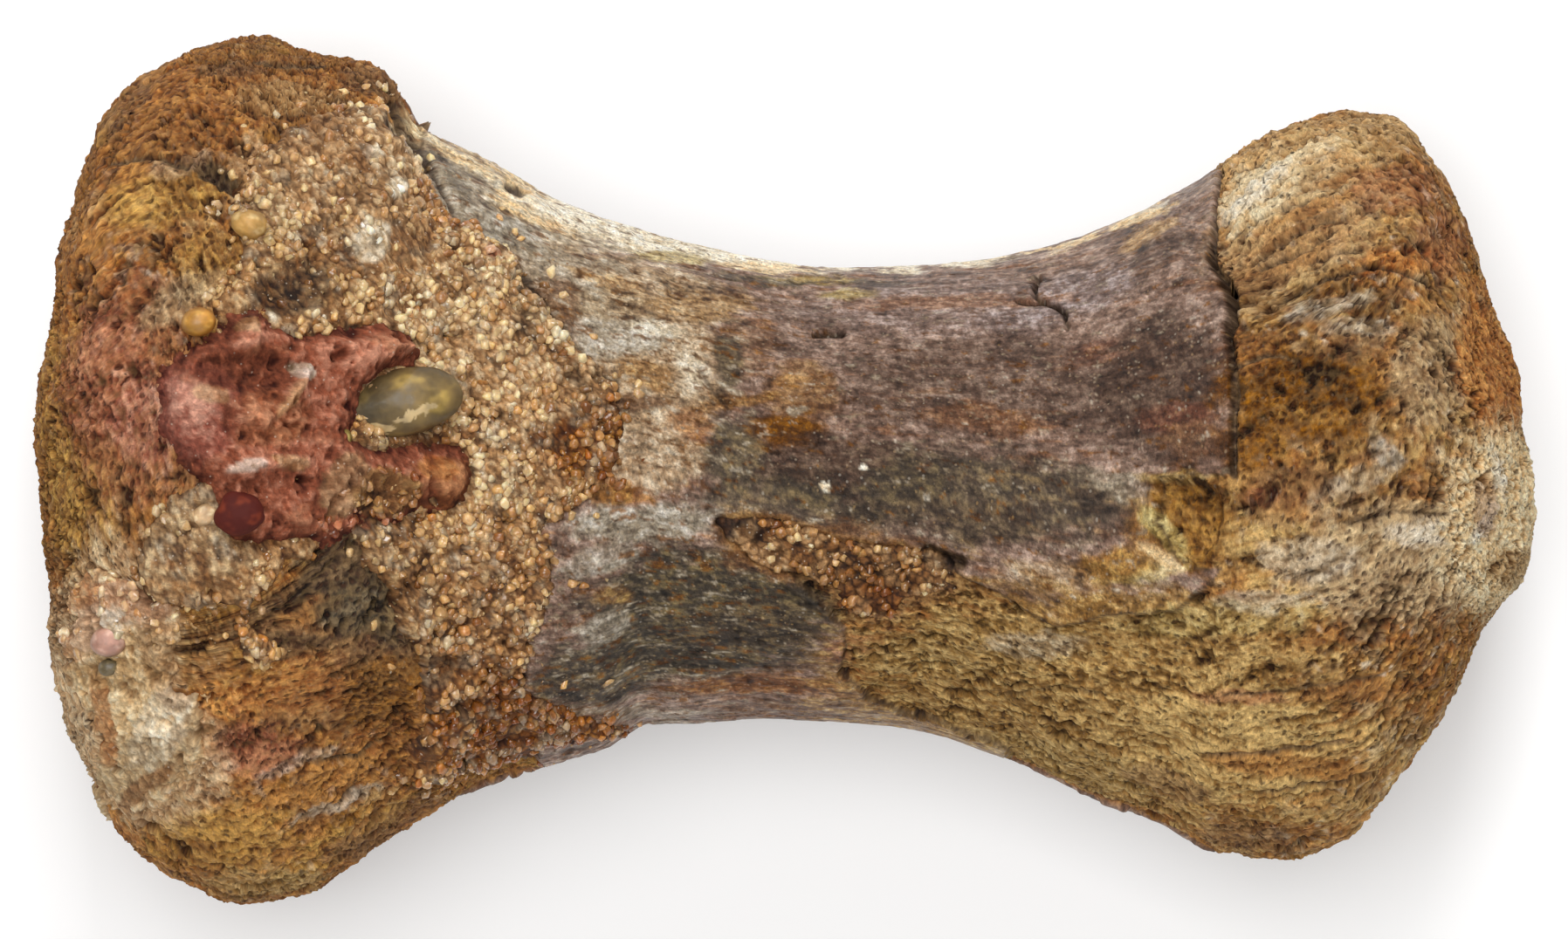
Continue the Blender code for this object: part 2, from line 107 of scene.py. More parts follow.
class Noise:
    """Seeded smooth and cellular noise over arrays of points."""

    TABLE = 256

    def __init__(self, seed: int) -> None:
        """Draws the tables.

        Args:
            seed: Which noise it is.
        """
        source = np.random.default_rng(seed)
        self.order = source.permutation(self.TABLE)
        slopes = source.normal(size=(self.TABLE, 3))
        self.slopes = (slopes / np.linalg.norm(slopes, axis=1, keepdims=True)).astype(np.float32)
        self.spots = source.random((self.TABLE, 4)).astype(np.float32)

    def entry(self, cell: Array) -> Array:
        """Table entry of each cell.

        Args:
            cell: Whole numbers.

        Returns:
            An index into the tables.
        """
        last = self.TABLE - 1
        first = self.order[cell[..., 0] & last]
        second = self.order[(first + cell[..., 1]) & last]
        return self.order[(second + cell[..., 2]) & last]

    def smooth(self, points: Array) -> Array:
        """Smooth noise with lumps one unit across.

        Args:
            points: Where it is read.

        Returns:
            Values, about -1 to 1.
        """
        points = np.asarray(points, np.float32)
        cell = np.floor(points).astype(np.int64)
        inside = points - cell
        fade = inside ** 3 * (inside * (inside * 6.0 - 15.0) + 10.0)
        total = np.zeros(points.shape[:-1], np.float32)
        for corner in np.ndindex(2, 2, 2):
            step = np.array(corner)
            slope = self.slopes[self.entry(cell + step)]
            weight = np.where(step, fade, 1.0 - fade).prod(axis=-1)
            total += weight * ((inside - step) * slope).sum(axis=-1)
        return 1.6 * total

    def layered(self, points: Array, layers: int, gain: float = 0.5) -> Array:
        """Smooth noise with finer and weaker layers on it.

        Args:
            points: Where it is read.
            layers: How many sizes of lump.
            gain: Strength of each layer beside the one before.

        Returns:
            The sum, about -1 to 1.
        """
        total, weight, strength = 0.0, 0.0, 1.0
        for layer in range(layers):
            total = total + strength * self.smooth(points * 2.0 ** layer + 17.3 * layer)
            weight, strength = weight + strength, strength * gain
        return total / weight

    def cells(self, points: Array) -> tuple[Array, Array, Array]:
        """Cellular noise.

        Args:
            points: Where it is read.

        Returns:
            Distance to the nearest spot, distance to the next one, and a random share for the nearest.
        """
        points = np.asarray(points, np.float32)
        cell = np.floor(points).astype(np.int64)
        nearest = np.full(points.shape[:-1], 9.0, np.float32)
        second, share = nearest.copy(), np.zeros_like(nearest)
        for corner in np.ndindex(3, 3, 3):
            there = cell + (np.array(corner) - 1)
            entry = self.entry(there)
            spot = self.spots[entry]
            distance = np.linalg.norm(there + spot[..., :3] - points, axis=-1)
            closer = distance < nearest
            second = np.where(closer, nearest, np.minimum(second, distance))
            share = np.where(closer, spot[..., 3], share)
            nearest = np.where(closer, distance, nearest)
        return nearest, second, share


@dataclass(frozen=True)
class Stone:
    """One finish of the fossil: a dark, a middle and a pale tone, as screen colours; where relief picks them,
    they are painted shade in hollows and painted light on crests.
    """

    dark: str
    middle: str
    pale: str

    def tones(self) -> Array:
        """The three linear colours, hollows first."""
        return np.array([linear(code) for code in (self.dark, self.middle, self.pale)])


class Finish(Enum):
    """The named finishes that the surface is painted with."""

    RUST = Stone("381a07", "814c21", "c48843")
    OCHRE = Stone("3d2307", "916128", "d6a856")
    GOLD = Stone("241000", "5e3403", "98600d")
    ORANGE = Stone("4f2309", "a65f26", "e0a055")
    PEACH = Stone("5a361c", "ab8350", "e2c18f")
    TAN = Stone("3c240a", "916831", "dab674")
    PALE_TAN = Stone("463113", "97753b", "d8bb80")
    BROWN = Stone("2c180e", "674329", "a1784e")
    VIOLET = Stone("402c23", "876a59", "c8ac9a")
    VIOLET_DARK = Stone("1b110d", "4a3428", "806754")
    LAVENDER = Stone("41312c", "7f6a62", "cbbdbc")
    SLATE = Stone("171310", "443a2e", "86724b")
    BLUE_WHITE = Stone("51443a", "9f927c", "dfd9ce")
    CREAM = Stone("b8986a", "f4e6c9", "fffdf2")
    APRICOT = Stone("bc8a52", "f6d49d", "fff2cc")
    LEMON = Stone("654c20", "b59a58", "e8d898")
    MIXED = Stone("3e2b1e", "b2936f", "f2e0c2")
    PINK_GREY = Stone("523a28", "a08460", "dcc398")
    GREY_WHITE = Stone("4a3c2f", "98866c", "d9d0be")
    RED = Stone("331208", "84462c", "bb7d57")
    BLACK = Stone("150f0b", "3e2e23", "7a6248")
    SAND = Stone("543118", "ab7c4c", "ebcb9a")
    SAND_PALE = Stone("674424", "c49867", "f7e2bb")
    SAND_ORANGE = Stone("331404", "764214", "bb803a")
    SAND_BROWN = Stone("2c1a0e", "80562f", "c0975f")
    LIMY = Stone("7c5636", "cda679", "f4e3bf")
    CLAY = Stone("431408", "985338", "dd9a7b")
    CLAY_PINK = Stone("552016", "985341", "d99e86")
    OLIVE = Stone("3a2f1c", "7c6b47", "bfab78")


(RUST, OCHRE, GOLD, ORANGE, PEACH, TAN, PALE_TAN, BROWN, VIOLET, VIOLET_DARK, LAVENDER, SLATE, BLUE_WHITE,
 CREAM, APRICOT, LEMON, MIXED, PINK_GREY, GREY_WHITE, RED, BLACK, SAND, SAND_PALE, SAND_ORANGE, SAND_BROWN,
 LIMY, CLAY, CLAY_PINK, OLIVE) = Finish


@dataclass(frozen=True)
class Patch:
    """An oval on the picture, with a soft ragged edge."""

    x: float
    y: float
    half_length: float
    half_width: float
    turn: float = 0.0
    amount: float = 1.0

    def depth(self, u: Array, v: Array) -> Array:
        """How far inside the oval a place lies.

        Args:
            u: Pixels across.
            v: Pixels down.

        Returns:
            1 in the middle, 0 at the edge and negative outside.
        """
        c, s = math.cos(math.radians(self.turn)), math.sin(math.radians(self.turn))
        across, up = u - self.x, self.y - v
        along = (across * c + up * s) / self.half_length
        aside = (up * c - across * s) / self.half_width
        return 1.0 - np.hypot(along, aside)


def near_path(points: tuple[tuple[float, float], ...], u: Array, v: Array) -> Array:
    """How far places lie from an open path.

    Args:
        points: The path's corners.
        u: Pixels across.
        v: Pixels down.

    Returns:
        Pixels to its nearest part.
    """
    nearest = np.full(u.shape, 1e9, np.float32)
    for (x0, y0), (x1, y1) in zip(points, points[1:]):
        along = ((u - x0) * (x1 - x0) + (v - y0) * (y1 - y0)) / ((x1 - x0) ** 2 + (y1 - y0) ** 2)
        along = np.clip(along, 0.0, 1.0)
        nearest = np.minimum(nearest, np.hypot(u - x0 - along * (x1 - x0), v - y0 - along * (y1 - y0)))
    return nearest


@dataclass(frozen=True)
class Outline:
    """A many-sided area on the picture."""

    corners: tuple[tuple[float, float], ...]
    scale: float = 100.0

    def depth(self, u: Array, v: Array) -> Array:
        """How far inside the outline a place lies.

        Args:
            u: Pixels across.
            v: Pixels down.

        Returns:
            Distance to the edge as a share of the scale: positive inside and negative outside.
        """
        inside = np.zeros(u.shape, bool)
        for (x0, y0), (x1, y1) in zip(self.corners, self.corners[1:] + self.corners[:1]):
            if y0 != y1:
                inside ^= ((y0 > v) != (y1 > v)) & (u < x0 + (v - y0) * (x1 - x0) / (y1 - y0))
        away = near_path(self.corners + self.corners[:1], u, v) / self.scale
        return np.where(inside, away, -away)


Area = Patch | Outline


def deepest(areas: tuple[Area, ...], u: Array, v: Array) -> Array:
    """How far inside any of some areas places lie.

    Args:
        areas: The areas.
        u: Pixels across.
        v: Pixels down.

    Returns:
        The greatest of their depths.
    """
    found = np.full(u.shape, -9.0, np.float32)
    for area in areas:
        found = np.maximum(found, area.depth(u, v))
    return found


@dataclass(frozen=True)
class Turn:
    """Where the bone's fibres turn away from the shaft: place in millimetres, angle in degrees."""

    x: float
    y: float
    reach_x: float
    reach_y: float
    angle: float

    def bend(self, points: Array, front: Array, flow: Array) -> Array:
        """The flow, turned about this place.

        Args:
            points: Every point.
            front: 1 on the side that faces the camera.
            flow: Coordinates along and across the fibres so far.

        Returns:
            The flow with the turn in it.
        """
        x, y = points[..., 0] - self.x, points[..., 1] - self.y
        share = front * ease(1.0 - np.hypot(x / self.reach_x, y / self.reach_y), 0.0, 0.4)
        angle = math.radians(self.angle) * share
        c, s = np.cos(angle), np.sin(angle)
        bent = flow.copy()
        start = flow[..., 0] - x
        bent[..., 0] = start + x * c + y * s
        bent[..., 1] = flow[..., 1] - y + (y * c - x * s)
        return bent


TURNS = (
    Turn(-35.0, 9.0, 15.0, 22.0, -56.0), Turn(-30.0, -18.0, 17.0, 9.0, 18.0),
    Turn(28.0, 15.0, 9.0, 8.0, 25.0), Turn(33.0, -12.0, 12.0, 7.0, -6.0),
)


@dataclass
class Site:
    """Where the points of one grid over the bone lie: in space, along the fibres (flow) and on the picture.

    The front is 1 on the side that faces the camera. The ragged places on the picture fray what is put there.
    """

    points: Array
    normals: Array
    flow: Array
    u: Array
    v: Array
    front: Array
    ragged_u: Array
    ragged_v: Array


@dataclass
class BoneForm:
    """The bone's plain form as rings, each with its place along the shaft and its share on a joint face."""

    upper: tuple = (
        (-40.4, 4.5), (-39.5, 8.0), (-38.6, 12.0), (-37.3, 16.2), (-36.2, 19.0), (-34.2, 21.0),
        (-31.0, 22.6), (-27.9, 23.1), (-25.0, 22.3), (-21.6, 21.4), (-20.4, 20.0), (-19.2, 18.2),
        (-16.3, 16.7), (-11.6, 14.1), (-5.0, 12.0), (2.4, 10.8), (9.0, 11.0), (15.0, 12.2), (21.0, 14.8),
        (25.7, 17.8), (29.5, 19.0), (32.4, 18.6), (35.0, 15.7), (37.3, 10.4), (38.9, 6.6), (39.5, 3.6),
        (40.0, 0.6), (40.4, -2.0),
    )
    lower: tuple = (
        (-40.4, -4.5), (-39.3, -9.0), (-38.7, -13.0), (-37.2, -16.4), (-35.4, -19.2), (-32.6, -21.6),
        (-28.6, -23.1), (-25.6, -22.4), (-22.0, -20.2), (-16.3, -17.0), (-9.6, -14.7), (-7.2, -13.4),
        (0.0, -13.3), (5.0, -13.5), (11.0, -15.1), (16.3, -17.5), (20.4, -19.0), (23.0, -20.6),
        (26.0, -20.9), (29.4, -19.8), (32.6, -16.5), (35.0, -13.0), (37.3, -8.6), (38.9, -7.2),
        (39.8, -6.2), (40.4, -4.4),
    )
    above: tuple = (
        (-40.4, 8.0), (-39.2, 11.0), (-37.6, 14.0), (-34.5, 16.2), (-30.0, 17.0), (-24.5, 15.8),
        (-17.0, 12.9), (-8.0, 10.9), (2.0, 10.2), (11.0, 10.9), (18.0, 12.4), (24.0, 14.2), (29.0, 15.2),
        (33.5, 14.4), (36.8, 11.8), (38.8, 8.4), (39.6, 5.6), (40.1, 3.4), (40.4, 1.2),
    )
    below: tuple = (
        (-40.4, 8.0), (-39.0, 11.6), (-36.8, 14.8), (-33.5, 16.6), (-29.5, 17.2), (-25.0, 15.9),
        (-17.0, 12.2), (-8.0, 9.8), (2.0, 8.9), (11.0, 9.6), (18.0, 11.6), (23.5, 13.9), (28.5, 15.0),
        (33.0, 14.2), (36.6, 11.4), (38.8, 8.0), (39.6, 5.4), (40.1, 3.3), (40.4, 1.2),
    )
    ends: tuple[float, float] = (-40.4, 40.4)
    axis_levels: tuple[float, float] = (16.4, 13.9)
    power: float = 2.3
    wide_face: float = 6.4
    narrow_face: float = 1.6
    noises: tuple = ((9.0, 0.30, 3.7), (4.0, 0.28, 9.1))
    girth: float = 15.0
    rows_measured: int = 8000
    table: Array = field(init=False)

    def __post_init__(self) -> None:
        """Measures how far each place along the shaft is over the surface."""
        x = np.linspace(*self.ends, self.rows_measured)
        reach = np.stack([self.follow(edge, x) for edge in (self.upper, self.lower, self.above, self.below)])
        climb = np.abs(np.gradient(reach, x, axis=1)).mean(axis=0)
        pace = np.hypot(1.0, climb)
        arc = np.concatenate([[0.0], np.cumsum(0.5 * (pace[1:] + pace[:-1]) * np.diff(x))])
        self.table = np.stack([x, arc])

    @staticmethod
    def follow(outline: tuple, x: Array) -> Array:
        """A smooth curve through an outline's points.

        Args:
            outline: The points.
            x: Where it is read.

        Returns:
            Its height there.
        """
        xs, ys = np.array(outline).T
        rise = np.diff(ys) / np.diff(xs)
        slope = np.empty_like(ys)
        slope[0], slope[-1] = rise[0], rise[-1]
        before, after = rise[:-1], rise[1:]
        same_way = before * after > 0.0
        slope[1:-1] = np.where(same_way, 2.0 * before * after / np.where(same_way, before + after, 1.0), 0.0)
        span = np.clip(np.searchsorted(xs, x) - 1, 0, len(xs) - 2)
        width = xs[span + 1] - xs[span]
        t = (x - xs[span]) / width
        start = ys[span] * (1.0 + 2.0 * t) * (1.0 - t) ** 2 + slope[span] * width * t * (1.0 - t) ** 2
        end = ys[span + 1] * t * t * (3.0 - 2.0 * t) - slope[span + 1] * width * t * t * (1.0 - t)
        return start + end

    def axis(self, x: Array) -> Array:
        """Height of the long axis above the table."""
        share = (x - self.ends[0]) / (self.ends[1] - self.ends[0])
        return self.axis_levels[0] + share * (self.axis_levels[1] - self.axis_levels[0])

    def arc_of(self, x: float) -> float:
        """Distance over the surface from the wide end's rim to a place along the shaft."""
        return float(np.interp(x, self.table[0], self.table[1]))

    @property
    def arc_ends(self) -> tuple[float, float]:
        """Distances of the two joint faces' middles, over the surface, from the wide end's rim."""
        return -self.wide_face, float(self.table[1, -1]) + self.narrow_face

    def grid(self, arcs: Array, angles: Array) -> Array:
        """Points of the plain form.

        Args:
            arcs: Distance of each row over the surface, from the wide end's rim.
            angles: Angle of each column round the section, from +Y over the top.

        Returns:
            Rows of points.
        """
        x = np.interp(arcs, self.table[1], self.table[0])[:, None]
        last = self.table[1, -1]
        share = np.where(arcs < 0.0, 1.0 + arcs / self.wide_face, 1.0)
        share = np.where(arcs > last, 1.0 - (arcs - last) / self.narrow_face, share)[:, None]
        shape = 2.0 / self.power
        across = np.sign(np.cos(angles)) * np.abs(np.cos(angles)) ** shape
        rise = np.sign(np.sin(angles)) * np.abs(np.sin(angles)) ** shape
        upper, lower = self.follow(self.upper, x), self.follow(self.lower, x)
        y = 0.5 * (upper + lower) + share * across * 0.5 * (upper - lower)
        height = share * rise * np.where(rise > 0.0, self.follow(self.above, x), self.follow(self.below, x))
        dish = np.exp(-((y / 9.0) ** 2) - (height / 6.5) ** 2) * ease(-x, -self.ends[0] - 6.0, -self.ends[0])
        trough = np.exp(-((height / 4.5) ** 2)) * ease(x, self.ends[1] - 6.0, self.ends[1])
        x = x + 2.6 * dish - 0.7 * trough
        return np.stack([x, y, self.axis(x) + height], axis=-1)

    def site(self, arcs: Array, angles: Array, wraps: bool) -> Site:
        """Every fact about a grid's places.

        Args:
            arcs: Distance of each row over the surface.
            angles: Angle of each column.
            wraps: Whether the last column meets the first.

        Returns:
            The site, with the same gentle swell as the CAD solid.
        """
        plain = self.grid(arcs, angles)
        if wraps:
            around = np.roll(plain, -1, axis=1) - np.roll(plain, 1, axis=1)
        else:
            around = np.gradient(plain, axis=1)
        normals = np.cross(around, np.gradient(plain, axis=0))
        length = np.linalg.norm(normals, axis=-1, keepdims=True)
        end = np.where(arcs < 0.5 * arcs.mean(), -1.0, 1.0)[:, None, None] * np.array([1.0, 0.0, 0.0])
        normals = np.where(length > 1e-7, normals / np.maximum(length, 1e-7), end)
        swell = np.zeros(plain.shape[:2])
        for size, height, place in self.noises:
            flat = plain.reshape(-1, 3) / size + place
            swell += height * np.array([noise.noise(p) for p in map(Vector, flat)]).reshape(swell.shape)
        swell *= 0.3 + 0.7 * np.abs(normals[..., 2])
        swell *= ease(self.ends[1] - plain[..., 0], 0.0, 3.0)
        points = plain + swell[..., None] * normals
        points[..., 2] = np.maximum(points[..., 2], 0.0)
        nearer = CAMERA_HEIGHT / (CAMERA_HEIGHT + LEVEL_IN_FOCUS - points[..., 2])
        u = PICTURE_CENTRE[0] + points[..., 0] * nearer / PIXEL
        v = PICTURE_CENTRE[1] - points[..., 1] * nearer / PIXEL
        height = points[..., 2] - self.axis(points[..., 0])
        wobble = GRAIN.layered(points / 3.0 + 90.0, 4, 0.66)
        lobes = 4.0 * GRAIN.layered(points / 6.0 + 120.0, 4, 0.6) + 1.2 * wobble
        front = ease(normals[..., 2] + 0.22 * wobble + 0.1, -0.45, -0.1) * ease(height + lobes, -3.0, 0.0)
        reach = 13.0 + 80.0 * ease(-height, -4.0, 2.0)
        wander = [reach * GRAIN.layered(points / 2.7 + 31.0 * k, 5, 0.66) for k in (1, 2)]
        flat = ease(np.abs(points[..., 0]), 33.0, 38.5)
        flow = np.empty_like(points)
        flow[..., 0] = arcs[:, None]
        flow[..., 1] = flat * points[..., 1] + (1.0 - flat) * self.girth * np.cos(angles)
        flow[..., 2] = flat * height + (1.0 - flat) * self.girth * np.sin(angles)
        for turn in TURNS:
            flow = turn.bend(points, front, flow)
        return Site(points, normals, flow, u, v, front, u + wander[0], v + wander[1])


GRAIN = Noise(7)
FORM = BoneForm()

CORTEX = Outline((
    (492, 60), (560, 120), (1385, 130), (1397, 205), (1390, 250), (1384, 290), (1394, 312), (1410, 332),
    (1404, 380), (1412, 440), (1409, 545), (1330, 548), (1322, 600), (1345, 640), (1400, 655), (1340, 702),
    (1270, 708), (1205, 716), (1160, 690), (1110, 662), (1060, 640), (980, 655), (925, 640), (900, 655),
    (940, 690), (968, 722), (962, 775), (1000, 806), (1080, 832), (1150, 866), (1150, 900), (620, 880),
    (560, 700), (500, 500), (500, 300), (486, 170),
), scale=1.0)
SAND_AREA = (
    Outline((
        (322, 140), (362, 116), (412, 106), (444, 116), (462, 142), (484, 176), (512, 222), (540, 250),
        (572, 268), (600, 290), (620, 330), (652, 372), (690, 408), (716, 438), (724, 480), (716, 520),
        (700, 560), (668, 590), (640, 612), (650, 650), (640, 690), (624, 730), (616, 780), (640, 800),
        (690, 815), (735, 828), (728, 850), (660, 862), (600, 880), (540, 896), (496, 908), (462, 896),
        (456, 860), (482, 820), (474, 770), (450, 724), (446, 690), (430, 668), (410, 652), (396, 628),
        (372, 632), (362, 652), (336, 650), (326, 680), (300, 690), (296, 716), (318, 726), (342, 762),
        (296, 778), (262, 752), (262, 712), (180, 706), (150, 690), (146, 640), (158, 590), (190, 560),
        (232, 540), (244, 480), (232, 420), (236, 372), (232, 346), (256, 320), (270, 284), (254, 244),
        (266, 200), (292, 160),
    )),
)
FISSURE_AREA = (Patch(905, 628, 92, 36, -18), Patch(1010, 655, 100, 38, -8), Patch(1000, 690, 44, 26, 0))
PALE_AREA = (Patch(138, 745, 84, 100, 0), Patch(172, 860, 70, 96, -22), Patch(120, 690, 56, 44, 0),
             Patch(150, 800, 60, 70, 0))
CLAY_AREA = (
    Outline((
        (184, 446), (190, 418), (212, 402), (226, 386), (252, 380), (256, 360), (290, 356), (322, 372),
        (352, 384), (384, 372), (424, 368), (462, 378), (486, 394), (490, 412), (468, 426), (440, 430),
        (420, 446), (408, 470), (404, 500), (424, 516), (462, 512), (500, 502), (530, 512), (546, 546),
        (540, 580), (510, 592), (480, 586), (456, 602), (420, 590), (404, 612), (380, 622), (342, 620),
        (325, 624), (296, 628), (266, 620), (252, 598), (248, 576), (240, 560), (214, 540), (190, 522),
        (180, 490),
    )),
)


@dataclass(frozen=True)
class Groove:
    """A crack, slit or ridge along a path on the picture: negative heights cut in."""

    path: tuple[tuple[float, float], ...]
    half_width: float
    height: float

    def rise(self, u: Array, v: Array) -> Array:
        """Height that it adds at each place."""
        return self.height * np.exp(-((near_path(self.path, u, v) / self.half_width) ** 2))


def grooves(*rows: tuple[float, ...]) -> tuple[Groove, ...]:
    """Grooves from rows of half width, height, and x and y of each corner of the path."""
    return tuple(Groove(tuple(zip(row[2::2], row[3::2])), *row[:2]) for row in rows)


FLUSH = (Patch(1440, 190, 140, 105),)
FIBROUS = (
    Patch(1490, 235, 130, 120, 0), Patch(1480, 640, 130, 70, 0), Patch(1430, 860, 230, 90, -8),
    Patch(330, 930, 150, 90, 10),
)
GROOVES = grooves(
    (2.4, -0.6, 1398, 196, 1393, 235, 1384, 292), (4.5, -0.9, 1400, 322, 1409, 338, 1406, 372),
    (3.6, -0.7, 1384, 292, 1396, 312, 1410, 334, 1405, 385, 1413, 440, 1411, 545),
    (3.2, -0.6, 932, 381, 964, 381),
    (2.4, -0.6, 1189, 316, 1186, 336, 1197, 346, 1208, 350, 1219, 358, 1223, 376),
    (2.4, -0.5, 1166, 343, 1184, 347, 1197, 346), (2.6, -0.45, 1440, 305, 1500, 282, 1530, 262),
    (5, 0.65, 1318, 548, 1350, 546, 1378, 552, 1404, 560),
    (5, 0.55, 1322, 552, 1318, 590, 1330, 612, 1352, 628, 1372, 640),
    (4, 0.35, 1404, 560, 1400, 600, 1392, 640), (7, 0.3, 1250, 640, 1290, 655, 1340, 662, 1380, 655),
    (6, -0.9, 456, 118, 470, 150, 488, 182), (4, -0.4, 488, 182, 512, 226, 545, 290, 600, 318),
    (2, -0.35, 1405, 275, 1450, 248, 1500, 232), (2, -0.3, 1420, 200, 1470, 172, 1520, 160),
    (2.4, -0.4, 1430, 300, 1480, 270, 1528, 250), (3, -0.4, 1460, 345, 1520, 318, 1580, 302),
    (4, 0.35, 1470, 372, 1530, 352, 1590, 350), (3, -0.4, 1410, 420, 1450, 405, 1480, 410),
    (5, -0.25, 1600, 250, 1640, 300, 1660, 350), (2.5, -0.5, 1560, 300, 1605, 312, 1640, 330),
    (4, -0.3, 1540, 600, 1600, 585, 1660, 590), (3, -0.3, 1420, 640, 1470, 660, 1530, 655),
    (3, -0.3, 1400, 800, 1500, 790, 1580, 776), (3, -0.35, 1380, 870, 1460, 866, 1540, 850),
    (3, -0.3, 1440, 910, 1520, 900, 1590, 880), (2.5, -0.25, 1150, 800, 1210, 790, 1260, 800),
    (9, -0.7, 596, 318, 625, 360, 640, 392, 700, 450), (4, -0.25, 800, 420, 812, 440, 838, 470, 800, 490),
    (4, 0.22, 870, 430, 900, 415, 945, 420, 965, 450, 955, 490, 930, 512),
    (5, 0.25, 1200, 712, 1270, 706, 1340, 700, 1400, 658), (4, 0.3, 960, 720, 935, 692, 900, 668),
    (6, -0.8, 826, 598, 852, 618, 885, 640), (8, -0.9, 1062, 632, 1098, 645),
    (8, -0.9, 236, 196, 262, 208, 290, 232), (5, -0.35, 120, 188, 170, 178, 215, 190),
    (6, -0.3, 290, 60, 330, 72, 372, 70), (10, -0.5, 320, 300, 352, 330, 378, 352),
    (3, -0.4, 370, 872, 410, 868, 450, 848), (5, -0.6, 584, 212, 600, 220),
    (2.5, -0.4, 1500, 300, 1560, 283),
)


@dataclass(frozen=True)
class Stain:
    """A patch of the surface in a finish of its own."""

    finish: Finish
    patch: Patch


def stains(*rows: tuple) -> tuple[Stain, ...]:
    """Stains from a table.

    Args:
        rows: Finish, x, y, half length, half width and amount, and a turn where it has one.

    Returns:
        The stains, in the order they are painted.
    """
    return tuple(Stain(finish, Patch(*oval, *turn, amount=amount)) for finish, *oval, amount, turn in (
        (*row[:6], row[6:]) for row in rows))


